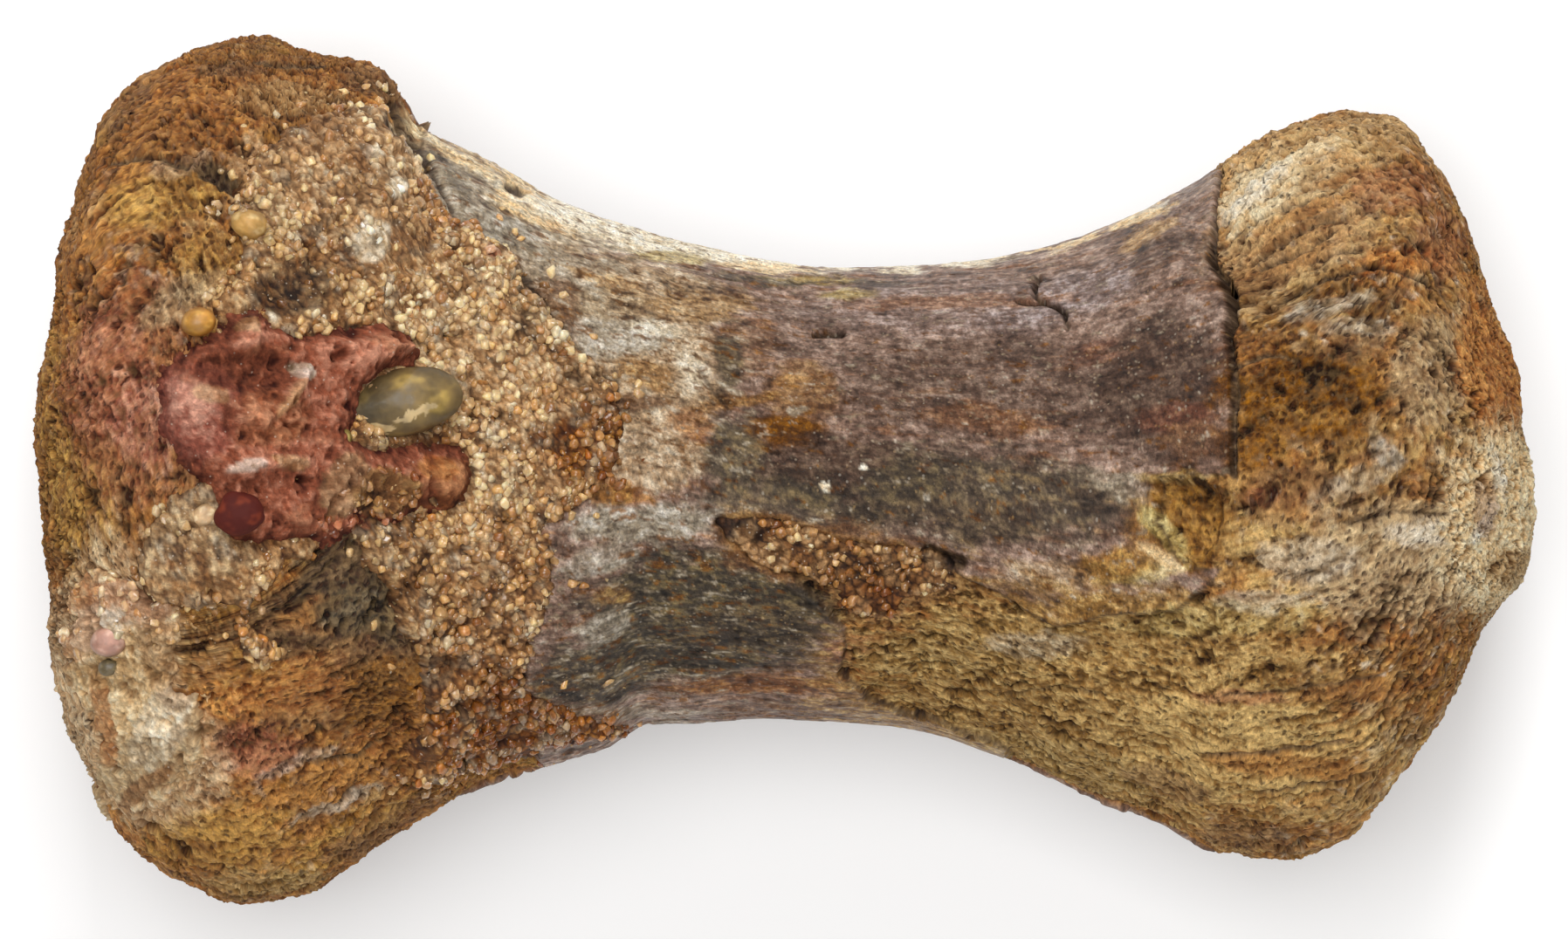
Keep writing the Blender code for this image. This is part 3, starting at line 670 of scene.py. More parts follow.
STAINS = stains(
    # The wide end.
    (OCHRE, 95, 560, 52, 130, 0.9), (OCHRE, 190, 225, 80, 30, 0.8, 12), (GOLD, 100, 480, 36, 60, 0.9),
    (OCHRE, 240, 300, 50, 40, 0.7), (ORANGE, 300, 100, 130, 30, 0.5, 5),
    # The BLACK at 258, 205 is painted shade in the hollow there.
    (RUST, 190, 150, 90, 50, 0.6, 30), (BLACK, 258, 205, 30, 12, 0.9, -35), (BROWN, 265, 80, 44, 12, 0.7),
    (GREY_WHITE, 205, 190, 40, 14, 0.3, 20), (PINK_GREY, 250, 330, 60, 24, 0.5),
    (RED, 150, 450, 90, 150, 0.7), (CLAY, 120, 430, 50, 80, 0.5), (PINK_GREY, 200, 350, 50, 20, 0.6, 30),
    (CLAY_PINK, 165, 480, 40, 60, 0.5), (SAND_PALE, 290, 210, 30, 60, 0.5, 10),
    (PEACH, 330, 110, 70, 20, 0.5), (BROWN, 150, 110, 80, 14, 0.5, 50),
    (BLACK, 395, 665, 60, 70, 0.9, 12), (BLACK, 440, 720, 50, 70, 0.85, 30),
    (BLACK, 330, 700, 90, 30, 0.7, 25), (BROWN, 390, 745, 120, 30, 0.8, -10),
    (SLATE, 445, 690, 30, 60, 0.7, 10), (GREY_WHITE, 400, 700, 40, 10, 0.5, 30),
    (RUST, 352, 700, 40, 14, 0.7, 20), (ORANGE, 330, 755, 60, 12, 0.5), (BLACK, 330, 740, 60, 16, 0.6),
    (SLATE, 400, 700, 40, 30, 0.8), (BROWN, 380, 800, 90, 40, 0.6, 10), (GOLD, 440, 790, 60, 40, 0.7, 30),
    (ORANGE, 330, 790, 80, 30, 0.5, 5), (RED, 292, 862, 62, 36, 1, -8), (ORANGE, 250, 810, 60, 24, 0.6),
    (LIMY, 118, 770, 84, 170, 0.75, -8), (LIMY, 190, 880, 70, 80, 0.6, -30),
    (GREY_WHITE, 378, 925, 70, 6, 0.6, 22), (GREY_WHITE, 345, 875, 60, 8, 0.4, 24),
    (BROWN, 440, 945, 80, 16, 0.5, 27), (OCHRE, 250, 960, 90, 40, 0.6, 5),
    (PALE_TAN, 300, 1010, 80, 18, 0.6), (BROWN, 410, 965, 50, 14, 0.6, 20),
    # The shaft, from its sandy end.
    (BROWN, 430, 95, 40, 16, 0.8, -20), (PINK_GREY, 560, 215, 150, 60, 1, -30),
    (BLUE_WHITE, 550, 220, 120, 40, 0.6, -30), (APRICOT, 560, 190, 110, 14, 0.8, -27),
    (GREY_WHITE, 520, 235, 70, 16, 0.9, -40), (SLATE, 516, 200, 42, 10, 0.6, -50),
    # The BLACK at 590, 222 is painted shade in the small pit there.
    (BLUE_WHITE, 600, 295, 80, 30, 0.9, -35), (BLACK, 590, 222, 14, 8, 0.9, -20),
    (BROWN, 540, 178, 60, 5, 0.7, -28), (APRICOT, 620, 240, 60, 20, 1, -18),
    (CREAM, 720, 258, 130, 26, 1, -13), (CREAM, 860, 288, 180, 22, 1, -3),
    (CREAM, 1050, 298, 120, 14, 0.9, 2), (APRICOT, 1200, 275, 90, 8, 0.8, 14),
    (CREAM, 1330, 225, 60, 8, 0.6, 33), (APRICOT, 870, 306, 60, 6, 0.7, -3),
    (LEMON, 770, 296, 52, 8, 0.8, -8), (LEMON, 930, 322, 60, 6, 0.7, -3),
    (LEMON, 972, 338, 36, 6, 0.8, 2), (SLATE, 870, 322, 60, 6, 0.8, -4), (SLATE, 1010, 326, 40, 5, 0.6),
    (MIXED, 700, 340, 150, 50, 1, -8), (BLUE_WHITE, 650, 330, 60, 30, 0.6, -30),
    (OCHRE, 690, 320, 60, 12, 0.6, -20), (MIXED, 720, 430, 130, 84, 1, 10),
    (BLUE_WHITE, 700, 385, 70, 30, 0.8), (PINK_GREY, 690, 350, 70, 20, 0.6),
    (GREY_WHITE, 660, 300, 80, 8, 0.7, -14), (BROWN, 640, 350, 26, 40, 0.8, 30),
    (PEACH, 800, 350, 70, 20, 0.7), (CREAM, 790, 428, 24, 26, 0.55, 30),
    (CREAM, 750, 378, 40, 10, 0.6, -10), (OCHRE, 740, 430, 44, 20, 0.7, -10),
    (OCHRE, 845, 458, 50, 10, 0.7, 5), (BROWN, 720, 462, 60, 10, 0.8, -4), (BROWN, 850, 400, 44, 34, 0.6),
    (SLATE, 835, 416, 18, 30, 0.8), (SLATE, 842, 520, 44, 46, 0.9), (RUST, 790, 490, 30, 26, 0.7),
    (MIXED, 740, 530, 70, 40, 0.9), (RUST, 700, 560, 60, 16, 0.8, -15),
    (OCHRE, 915, 450, 46, 34, 0.5, 10), (BROWN, 925, 462, 46, 30, 0.7, 10), (GOLD, 905, 495, 46, 24, 1),
    (GREY_WHITE, 910, 470, 14, 5, 0.8), (VIOLET_DARK, 980, 545, 120, 48, 0.95, -3),
    (BLACK, 925, 560, 60, 26, 0.6, -4), (SLATE, 900, 580, 110, 30, 0.8, -8),
    (SLATE, 815, 700, 165, 88, 1, 6), (BLACK, 850, 720, 90, 34, 0.4, 6),
    (SLATE, 690, 770, 90, 36, 0.9, 10), (BLUE_WHITE, 735, 598, 96, 24, 0.9, 4),
    (BLUE_WHITE, 690, 640, 50, 16, 0.6, 20), (OCHRE, 700, 565, 30, 14, 0.7),
    (OCHRE, 700, 680, 30, 12, 0.4), (BLUE_WHITE, 690, 720, 36, 20, 0.5, 30),
    (RUST, 900, 785, 150, 14, 0.8), (BROWN, 930, 815, 140, 14, 0.7), (RED, 980, 745, 40, 18, 0.7),
    (GREY_WHITE, 740, 815, 100, 7, 0.6), (VIOLET, 1140, 370, 210, 50, 0.8, 3),
    (LAVENDER, 1090, 352, 170, 34, 0.4, 2), (LAVENDER, 1240, 335, 70, 24, 0.7, 20),
    (LAVENDER, 1165, 370, 50, 16, 0.5), (RUST, 1100, 345, 150, 8, 0.5, 2),
    (APRICOT, 1275, 262, 80, 7, 0.8, 22), (PEACH, 1312, 272, 40, 12, 0.8, 30),
    (VIOLET_DARK, 1330, 290, 50, 20, 0.6, 30), (RED, 1290, 400, 76, 20, 0.45, 8),
    (VIOLET_DARK, 1330, 440, 76, 90, 0.95), (RED, 1350, 480, 50, 20, 0.4),
    (VIOLET_DARK, 1150, 440, 200, 60, 0.6), (RUST, 1130, 480, 80, 18, 0.4, -8),
    (SLATE, 1140, 570, 190, 56, 0.85, -4), (BLACK, 1080, 600, 120, 26, 0.5, -4),
    (GREY_WHITE, 1290, 560, 60, 16, 0.4, -20), (BROWN, 1370, 505, 40, 26, 0.7, 10),
    (BROWN, 960, 640, 150, 40, 0.9, -8), (RED, 1060, 682, 60, 18, 0.6),
    # The BLACK at 1090, 640 is painted shade in the hole there.
    (BLACK, 1090, 640, 24, 10, 0.9, -10), (GREY_WHITE, 1270, 704, 90, 7, 0.8, 6),
    (OCHRE, 1280, 648, 60, 20, 0.8, 8), (CREAM, 1320, 640, 30, 10, 0.6, -20),
    (MIXED, 1200, 660, 60, 22, 0.6), (CREAM, 986, 535, 7, 5, 1), (CREAM, 948, 556, 6, 5, 1),
    (PALE_TAN, 1290, 690, 90, 14, 0.6, 4),
    # The narrow end.
    (TAN, 1260, 810, 330, 150, 1, -7), (PALE_TAN, 1110, 745, 120, 40, 0.45, 6),
    (PALE_TAN, 1220, 880, 130, 30, 0.6, -12), (LEMON, 1400, 710, 130, 22, 0.5, 4),
    (GREY_WHITE, 1180, 740, 60, 16, 0.5), (RUST, 1480, 880, 110, 14, 0.8, -4),
    (RUST, 1560, 790, 80, 12, 0.7, 6), (RED, 1420, 800, 60, 8, 0.6), (BROWN, 1430, 965, 70, 14, 0.6, -3),
    (BROWN, 1330, 900, 60, 16, 0.6, -20), (PEACH, 1510, 180, 130, 50, 0.5, 18),
    (PINK_GREY, 1490, 260, 120, 70, 0.45, 20), (APRICOT, 1444, 222, 56, 30, 0.6, 38),
    (CREAM, 1440, 222, 60, 9, 0.5, 38), (APRICOT, 1428, 258, 34, 7, 0.7, 30),
    (APRICOT, 1500, 180, 50, 7, 0.5, 20), (RUST, 1520, 235, 80, 9, 0.7, 22),
    (RUST, 1560, 200, 60, 8, 0.7, 15), (BROWN, 1490, 262, 60, 6, 0.9, 24),
    (BROWN, 1470, 300, 80, 9, 0.8, 18), (RED, 1600, 215, 60, 30, 0.5), (RUST, 1470, 290, 90, 30, 0.4, 20),
    (PEACH, 1600, 150, 60, 20, 0.5), (ORANGE, 1608, 300, 58, 18, 0.9, 6),
    (RED, 1650, 280, 30, 40, 0.5, 20), (GREY_WHITE, 1520, 352, 62, 14, 0.7, 12),
    (GREY_WHITE, 1555, 375, 46, 12, 0.6), (PEACH, 1450, 340, 40, 16, 0.6, 20),
    (BROWN, 1440, 325, 40, 14, 0.6, 10), (GOLD, 1490, 450, 110, 60, 1, -8),
    (BROWN, 1545, 400, 50, 16, 0.6), (OCHRE, 1500, 475, 60, 8, 0.7, -4), (RUST, 1430, 400, 34, 26, 0.8),
    (GOLD, 1430, 510, 40, 40, 0.8), (BROWN, 1480, 555, 60, 26, 0.7), (RED, 1440, 570, 26, 16, 0.6),
    (GREY_WHITE, 1560, 548, 60, 16, 0.4, 24), (BLUE_WHITE, 1590, 520, 26, 12, 0.6, -40),
    (PINK_GREY, 1610, 640, 140, 80, 0.8), (CREAM, 1650, 610, 60, 20, 0.5),
    (PINK_GREY, 1640, 430, 50, 70, 0.6), (ORANGE, 1705, 430, 36, 100, 0.9, 10),
    (APRICOT, 1728, 600, 84, 120, 0.95), (APRICOT, 1738, 590, 50, 84, 0.7),
    (CREAM, 1715, 540, 10, 30, 0.8, 20), (CREAM, 1700, 600, 8, 30, 0.7, -20),
    (RED, 1700, 580, 14, 40, 0.5), (PEACH, 1735, 650, 40, 24, 0.8), (GOLD, 1360, 596, 60, 64, 1),
    (OCHRE, 1345, 600, 60, 50, 0.6), (PALE_TAN, 1350, 548, 46, 7, 0.9),
    (LEMON, 1330, 610, 44, 12, 0.9, -50), (LEMON, 1290, 652, 60, 18, 0.6),
    (OCHRE, 1275, 645, 60, 20, 0.8, 10), (APRICOT, 1330, 640, 30, 8, 0.6, -30),
    (GOLD, 1362, 575, 22, 12, 0.8), (TAN, 1450, 620, 60, 36, 0.7), (BLUE_WHITE, 1500, 640, 60, 26, 0.4),
    (BROWN, 1460, 590, 40, 18, 0.6), (GREY_WHITE, 1440, 690, 60, 14, 0.5),
)


@dataclass
class Paint:
    """Three tones of colour at each point, painted over one another and mixed at the end."""

    tones: Array

    @classmethod
    def plain(cls, shape: tuple[int, ...], finish: Finish) -> Paint:
        """One finish everywhere."""
        return cls(np.broadcast_to(finish.value.tones(), (*shape, 3, 3)).astype(np.float32))

    def over(self, finish: Finish, cover: Array) -> None:
        """Paints a finish where cover is 1, and part of it where it is less."""
        share = cover[..., None, None].astype(np.float32)
        self.tones = self.tones + share * (finish.value.tones().astype(np.float32) - self.tones)

    def mixed(self, shade: Array) -> Array:
        """The colour at each point.

        Args:
            shade: 0 takes the dark tone, 0.5 the middle one and 1 the pale one; where it follows relief, this
                paints shade in hollows and light on crests.

        Returns:
            Linear colours.
        """
        shade = np.clip(shade, 0.0, 1.0)[..., None]
        low = np.clip(2.0 * shade, 0.0, 1.0)
        high = np.clip(2.0 * shade - 1.0, 0.0, 1.0)
        dark, middle, pale = (self.tones[..., i, :] for i in range(3))
        return dark + low * (middle - dark) + high * (pale - middle)


class Weather:
    """What time did to one grid's part of the bone: relief, colour and where its hard outer layer is left;
    the colour also carries painted shade in hollows and cracks and painted light on crests.
    """

    def __init__(self, site: Site) -> None:
        """Works out every layer for one grid.

        Args:
            site: The grid's places.
        """
        self.site = site
        self.back = 1.0 - site.front
        self.sand = self.in_area(SAND_AREA)
        self.fissure = self.in_area(FISSURE_AREA)
        self.pale = self.in_area(PALE_AREA)
        self.shell = self.find_shell()
        self.fine, self.height, self.cuts = self.find_height()

    def in_area(self, areas: tuple[Area, ...]) -> Array:
        """Depth inside some areas, on the side that faces the camera alone."""
        return deepest(areas, self.site.ragged_u, self.site.ragged_v) - BEHIND * self.back

    def find_shell(self) -> Array:
        """Finds the hard outer layer.

        Returns:
            1 where it is left, 0 where it flaked off.
        """
        site = self.site
        front = ease(CORTEX.depth(site.ragged_u, site.ragged_v), -2.5, 2.5)
        along = site.points[..., 0] + 6.0 * GRAIN.layered(site.points / 9.0 + 80.0, 5, 0.66)
        behind = ease(along - SHELL_BEHIND[0], 0.0, 0.5) * ease(SHELL_BEHIND[1] - along, -0.5, 0.0)
        share = ease(site.front, 0.35, 0.65)
        return share * front + (1.0 - share) * behind

    def spongy(self) -> tuple[Array, Array]:
        """Relief of bone without its shell: ribs, pits of two sizes and lumps.

        Returns:
            The fine relief and the broad one.
        """
        points, flow = self.site.points, self.site.flow
        warp = 0.55 * GRAIN.smooth(points / 0.8 + 7.0)[..., None]
        ribs = 1.0 - 3.0 * np.abs(GRAIN.layered(flow / (2.6, 0.6, 0.6) + warp, 3, 0.6))
        near, second, share = GRAIN.cells(flow / (0.80, 0.44, 0.44) + warp)
        crowd = ease(GRAIN.layered(points / 2.6 + 19.0, 2), -0.30, 0.20)
        wall = 1.0 - ease(second - near, 0.02, 0.34)
        small = ease(share, 0.25, 0.6) * (1.0 - wall) * crowd
        near, _, share = GRAIN.cells(flow / (2.3, 1.2, 1.2) + warp + 50.0)
        large = ease(0.46 * share - near, 0.0, 0.14)
        grit = GRAIN.layered(points / 0.42 + 2.0, 2)
        lumps = GRAIN.layered(points / 1.7 + 3.0, 3, 0.6)
        knobs = GRAIN.layered(points / 4.8 + 13.0, 2)
        fibrous = ease(self.in_area(FIBROUS), 0.0, 0.4)
        strands = 1.0 - 3.2 * np.abs(GRAIN.layered(flow / (7.0, 0.62, 0.62) + 0.3 * warp + 33.0, 3, 0.6))
        pits = (1.0 - 0.6 * fibrous) * (0.26 * small + 0.42 * large)
        fine = 0.10 * ribs + 0.11 * grit + 0.07 * wall - pits + 0.22 * fibrous * strands
        return fine, 0.30 * lumps + 0.42 * knobs

    def hard(self) -> Array:
        """Relief of the shell: thin sheets that broke off in steps, streaks and dents.

        Returns:
            Its height.
        """
        points, flow = self.site.points, self.site.flow
        sheet = 5.0 * GRAIN.layered(flow / (6.0, 2.2, 2.2) + 21.0, 4, 0.6)
        steps = np.floor(sheet)
        steps = (steps + ease(sheet - steps, 0.0, 0.22)) / 5.0
        streaks = GRAIN.layered(flow / (1.8, 0.4, 0.4) + 5.0, 2)
        near, _, share = GRAIN.cells(points / 1.9 + 5.0)
        dents = ease(0.34 * share - near, 0.0, 0.12)
        steps = steps * (1.0 + 0.7 * ease(-points[..., 0], -4.0, 3.0) * self.site.front)
        return 0.20 * steps + 0.035 * streaks - 0.12 * dents + 0.05 * GRAIN.layered(points / 1.2, 2)

    def find_height(self) -> tuple[Array, Array, Array]:
        """Adds all relief up.

        Returns:
            The fine relief alone, the whole height above the plain form, and the grooves alone.
        """
        site, x = self.site, self.site.points[..., 0]
        rough = 1.0 - self.shell
        fine, broad = self.spongy()
        hard = self.hard()
        lost = rough * (0.45 + 0.25 * GRAIN.smooth(site.points / 5.0 + 60.0))
        lost = lost * (0.35 + 0.65 * ease(x, -24.0, -12.0) - 0.8 * ease(x, 24.0, 30.0))
        lost = lost * (1.0 - 0.8 * ease(self.in_area(FLUSH), 0.0, 0.4)) * (0.3 + 0.7 * site.front)
        rim = ease(-x, 35.5, 38.5)
        lost = lost + rim * (0.35 * ease(-np.abs(site.v - 600.0), -150.0, -60.0)
                             + 0.24 * np.abs(GRAIN.smooth(site.points / 1.1 + 77.0)))
        lost = np.maximum(lost, 0.9 * ease(self.sand, 0.10, 0.34))
        lost = np.maximum(lost, 0.8 * ease(self.pale, 0.14, 0.40))
        lost = np.maximum(lost, 1.1 * ease(self.fissure, 0.05, 0.5))
        u, v = (0.65 * raw + 0.35 * rag for raw, rag in ((site.u, site.ragged_u), (site.v, site.ragged_v)))
        cuts = sum(groove.rise(u, v) for groove in GROOVES) * ease(site.front, 0.5, 1.0)
        scab = 0.22 * ease(self.in_area((Patch(915, 455, 52, 46, 10), Patch(905, 500, 40, 20))), 0.0, 0.1)
        scab = scab - 0.6 * ease(self.in_area((Patch(1362, 596, 42, 44),)), 0.0, 0.14)
        tip = ease(FORM.ends[1] - x, 0.2, 2.0)
        buried = 1.0 - 0.8 * ease(np.maximum(self.sand, self.pale), 0.1, 0.2)
        height = self.shell * hard + rough * (fine + broad) * buried - lost * tip + cuts + scab
        return rough * fine + self.shell * hard, height, cuts

    def mottle(self, paint: Paint, broken: Array) -> None:
        """Small clouds of other finishes over the spongy bone.

        Args:
            paint: What they go onto.
            broken: Fine noise that frays their edges.
        """
        points = self.site.points
        right = ease(points[..., 0], 18.0, 26.0)
        clouds = (
            (ORANGE, 1.5, 0.10, 0.55, 1.0), (PINK_GREY, 1.9, 0.12, 0.65, right),
            (RUST, 1.2, 0.12, 0.70, 1.0), (CREAM, 0.9, 0.28, 0.45, 0.3 + 0.7 * right),
            (GOLD, 1.6, 0.16, 0.70, 1.0), (BROWN, 1.1, 0.20, 0.75, 1.0),
            (GREY_WHITE, 0.8, 0.10, 0.85, ease(self.in_area((Patch(165, 430, 90, 190),)), 0.0, 0.5)),
            (PEACH, 0.7, 0.10, 0.75, ease(self.in_area((Patch(230, 280, 120, 110),)), 0.0, 0.5)),
        )
        for number, (finish, size, start, amount, where) in enumerate(clouds):
            cloud = GRAIN.layered(points / size + 300.0 + 11.0 * number, 3, 0.6) + 0.35 * broken
            paint.over(finish, amount * where * ease(cloud, start, start + 0.16))

    def paint(self) -> tuple[Array, Array]:
        """Paints the bone, with painted shade in hollows, cracks and along the broken edge of its hard outer
        layer, and painted light on crests.

        Returns:
            Colour of each point, and how much of the hard outer layer's sheen it has.
        """
        site, points, flow = self.site, self.site.points, self.site.flow
        rough, shell = 1.0 - self.shell, self.shell
        paint = Paint.plain(points.shape[:2], RUST)
        broad = GRAIN.layered(points / 7.0 + 44.0, 4)
        broad_2 = GRAIN.layered(points / 4.0 + 71.0, 4)
        broken = GRAIN.layered(flow / (1.9, 0.7, 0.7) + 200.0, 4, 0.72)
        paint.over(OCHRE, 0.8 * ease(broad + 0.5 * broken, 0.05, 0.3))
        paint.over(ORANGE, 0.5 * ease(broad_2 - 0.5 * broken, 0.15, 0.3))
        paint.over(TAN, 0.8 * ease(points[..., 0], 14.0, 24.0) * ease(-broad, -0.2, 0.2))
        paint.over(PEACH, 0.45 * ease(-broad_2 + 0.6 * broken, 0.2, 0.35))
        self.mottle(paint, broken)
        streaks = GRAIN.layered(flow / (3.6, 0.7, 0.7) + 30.0, 4, 0.66)
        flecks = GRAIN.layered(flow / (1.3, 0.5, 0.5) + 140.0, 4, 0.75)
        paint.over(VIOLET, shell)
        paint.over(VIOLET_DARK, 0.5 * shell * ease(streaks, 0.0, 0.2))
        paint.over(RUST, 0.55 * shell * ease(-streaks, 0.14, 0.3))
        paint.over(SLATE, 0.8 * shell * ease(broad, 0.1, 0.3) * self.back)
        for stain in STAINS:
            depth = stain.patch.depth(site.ragged_u, site.ragged_v) - BEHIND * self.back
            paint.over(stain.finish, stain.patch.amount * ease(depth + 0.5 * broken, -0.14, 0.30))
        left = ease(-points[..., 0], -3.0, 6.0)
        paint.over(GOLD, 0.8 * shell * ease(flecks + 0.10 * left, 0.24, 0.34))
        paint.over(GREY_WHITE, 0.7 * shell * ease(-flecks + 0.10 * left, 0.27, 0.37))
        paint.over(SAND_BROWN, ease(self.fissure, -0.1, 0.2))
        # Painted shadow: a dark line along the edge where the hard outer layer broke off.
        paint.over(BLACK, 3.2 * shell * rough * ease(np.abs(2.0 * site.front - 1.0), 0.7, 1.0))
        # Painted shade in the cut cracks and grooves.
        paint.over(BLACK, 0.9 * ease(-self.cuts, 0.10, 0.34))
        fleck = GRAIN.layered(flow / (0.9, 0.32, 0.32) + 50.0, 3, 0.75)
        spots = GRAIN.layered(points / 0.34 + 90.0, 2, 0.8)
        patches = GRAIN.layered(flow / (4.0, 1.4, 1.4) + 30.0, 4, 0.66)
        blots = GRAIN.layered(points / 0.9 + 400.0, 4, 0.7)
        shade = 0.50 + 0.52 * fleck + 0.46 * spots + 0.42 * patches + 0.50 * shell * blots
        # Painted shade and light: the fine relief picks the dark tone in hollows and the pale tone on crests,
        # over the bone's own flecks and patches.
        return paint.mixed(shade + (1.6 * rough + 0.9 * shell) * self.fine), shell


def grid_faces(rows: int, columns: int, wraps: bool) -> Array:
    """Cells of a grid.

    Args:
        rows: How many rows of points it has.
        columns: How many columns.
        wraps: Whether the last column meets the first.

    Returns:
        The four corners of each cell, anticlockwise seen from outside.
    """
    index = np.arange(rows * columns).reshape(rows, columns)
    if wraps:
        index = np.concatenate([index, index[:, :1]], axis=1)
    return np.stack([index[:-1, :-1], index[:-1, 1:], index[1:, 1:], index[1:, :-1]], axis=-1).reshape(-1, 4)


def new_mesh(name: str, points: Array, faces: list, values: dict[str, Array], normals: Array | None = None,
             ) -> bpy.types.Mesh:
    """A smooth-shaded mesh with values on its points.

    Args:
        name: Its name.
        points: Its points, in millimetres.
        faces: The corners of each face.
        values: Arrays by name: one number, three or four numbers a point.
        normals: The way each point faces, where neighbours outside this mesh count too.

    Returns:
        The mesh, in metres.
    """
    mesh = bpy.data.meshes.new(name)
    mesh.from_pydata(points.reshape(-1, 3) * MM, [], faces)
    for key, value in values.items():
        flat = value.reshape(len(points.reshape(-1, 3)), -1).astype(np.float32)
        if flat.shape[1] == 1:
            mesh.attributes.new(key, "FLOAT", "POINT").data.foreach_set("value", flat.ravel())
        elif key == "tint":
            flat = np.concatenate([np.clip(flat, 0.0, 1.0), np.ones((len(flat), 1), np.float32)], axis=1)
            mesh.attributes.new(key, "FLOAT_COLOR", "POINT").data.foreach_set("color", flat.ravel())
        else:
            mesh.attributes.new(key, "FLOAT_VECTOR", "POINT").data.foreach_set("vector", flat.ravel())
    mesh.shade_smooth()
    if normals is not None:
        mesh.normals_split_custom_set_from_vertices(normals)
    mesh.update()
    return mesh


def grid_normals(points: Array) -> Array:
    """Normals of a grid that closes round its columns.

    Args:
        points: Its points.

    Returns:
        The way each point faces.
    """
    around = np.roll(points, -1, axis=1) - np.roll(points, 1, axis=1)
    normals = np.cross(around, np.gradient(points, axis=0))
    return normals / np.maximum(np.linalg.norm(normals, axis=-1, keepdims=True), 1e-9)


def new_piece(mesh: bpy.types.Mesh, material: bpy.types.Material, slot: str, *nodes: str) -> bpy.types.Object:
    """Places a finished mesh on the body, in the stead of some CAD nodes.

    Args:
        mesh: The finished mesh.
        material: What it is dressed in.
        slot: Not used.
        nodes: The CAD nodes that it stands for.

    Returns:
        The piece.
    """
    mesh.materials.clear()
    mesh.materials.append(material)
    piece = bpy.data.objects.new(mesh.name, mesh)
    bpy.context.scene.collection.objects.link(piece)
    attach(piece, BODY)
    if nodes:
        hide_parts(*nodes)
    LOG.info("%s: %d faces", piece.name, len(mesh.polygons))
    return piece


class Shades:
    """Small helper that lays out the nodes of one material or node group."""

    def __init__(self, tree: bpy.types.NodeTree) -> None:
        """Keeps the tree that nodes are added to."""
        self.tree = tree

    def feed(self, node: bpy.types.Node, inputs: dict) -> None:
        """Sets some inputs of a node.

        Args:
            node: The node.
            inputs: What each input takes: another node's output, or a value.
        """
        for key, value in inputs.items():
            if isinstance(value, bpy.types.NodeSocket):
                self.tree.links.new(value, node.inputs[key])
            else:
                node.inputs[key].default_value = value

    def node(self, kind: str, inputs: dict | None = None, **settings: object) -> bpy.types.Node:
        """Adds a node.

        Args:
            kind: Its type.
            inputs: What its inputs take.
            settings: Its own properties.

        Returns:
            The node.
        """
        made = self.tree.nodes.new(kind)
        for key, value in settings.items():
            setattr(made, key, value)
        self.feed(made, inputs or {})
        return made

    def math(self, operation: str, *values: object) -> bpy.types.NodeSocket:
        """Result of a sum on numbers or sockets."""
        return self.node("ShaderNodeMath", dict(enumerate(values)), operation=operation).outputs[0]

    def times(self, first: object, second: object) -> bpy.types.NodeSocket:
        """Product of two numbers or sockets."""
        return self.math("MULTIPLY", first, second)

    def line(self, value: object, gain: object, start: object) -> bpy.types.NodeSocket:
        """A value times a gain, plus a start."""
        return self.math("MULTIPLY_ADD", value, gain, start)

    def vector(self, operation: str, first: object, second: object) -> bpy.types.NodeSocket:
        """Result of a sum on vectors."""
        return self.node("ShaderNodeVectorMath", {0: first, 1: second}, operation=operation).outputs[0]

    def drawn(self, place: object, along: object, across: object) -> bpy.types.NodeSocket:
        """Coordinates made larger along the fibres and across them."""
        stretch = self.node("ShaderNodeCombineXYZ", {0: along, 1: across, 2: across})
        return self.vector("MULTIPLY", place, stretch.outputs[0])

    def gained(self, colour: object, gain: object) -> bpy.types.NodeSocket:
        """A colour times a number."""
        return self.node("ShaderNodeVectorMath", {0: colour, "Scale": gain}, operation="SCALE").outputs[0]

    def mix(self, share: object, first: object, second: object, blend: str = "MIX") -> bpy.types.NodeSocket:
        """Mixes two colours by a share."""
        made = self.node("ShaderNodeMix", {0: share, 6: first, 7: second}, data_type="RGBA", blend_type=blend)
        return made.outputs[2]

    def span(self, value: object, *levels: float) -> bpy.types.NodeSocket:
        """Smoothly maps a value from between two levels to 0 to 1, or to between two more."""
        inputs = dict(enumerate((value, *levels)))
        return self.node("ShaderNodeMapRange", inputs, interpolation_type="SMOOTHSTEP").outputs[0]

    def cloud(self, place: object, scale: float, detail: float, roughness: float, low: float,
              ) -> bpy.types.NodeSocket:
        """Layered noise as a value from 0 to 1.

        Args:
            place: Where it is read.
            scale: How small its lumps are.
            detail: How many layers it has.
            roughness: Strength of its finer layers.
            low: The level that becomes 0; what lies as far below 1 becomes 1.

        Returns:
            The value.
        """
        made = self.node("ShaderNodeTexNoise", {
            "Vector": place, "Scale": scale, "Detail": detail, "Roughness": roughness})
        return self.span(made.outputs[0], low, 1.0 - low)

    def stored(self, name: str, output: str) -> bpy.types.NodeSocket:
        """A value that the mesh carries."""
        return self.node("ShaderNodeAttribute", attribute_name=name).outputs[output]

    def group(self, tree: bpy.types.NodeTree, inputs: dict) -> object:
        """Outputs of a node group, placed with its own values."""
        return self.node("ShaderNodeGroup", inputs, node_tree=tree).outputs

    def bump(self, height: object, distance: float, strength: float = 1.0) -> bpy.types.NodeSocket:
        """Normals bent by a height, with its reach in millimetres."""
        inputs = {"Height": height, "Strength": strength, "Distance": distance * MM}
        return self.node("ShaderNodeBump", inputs).outputs[0]


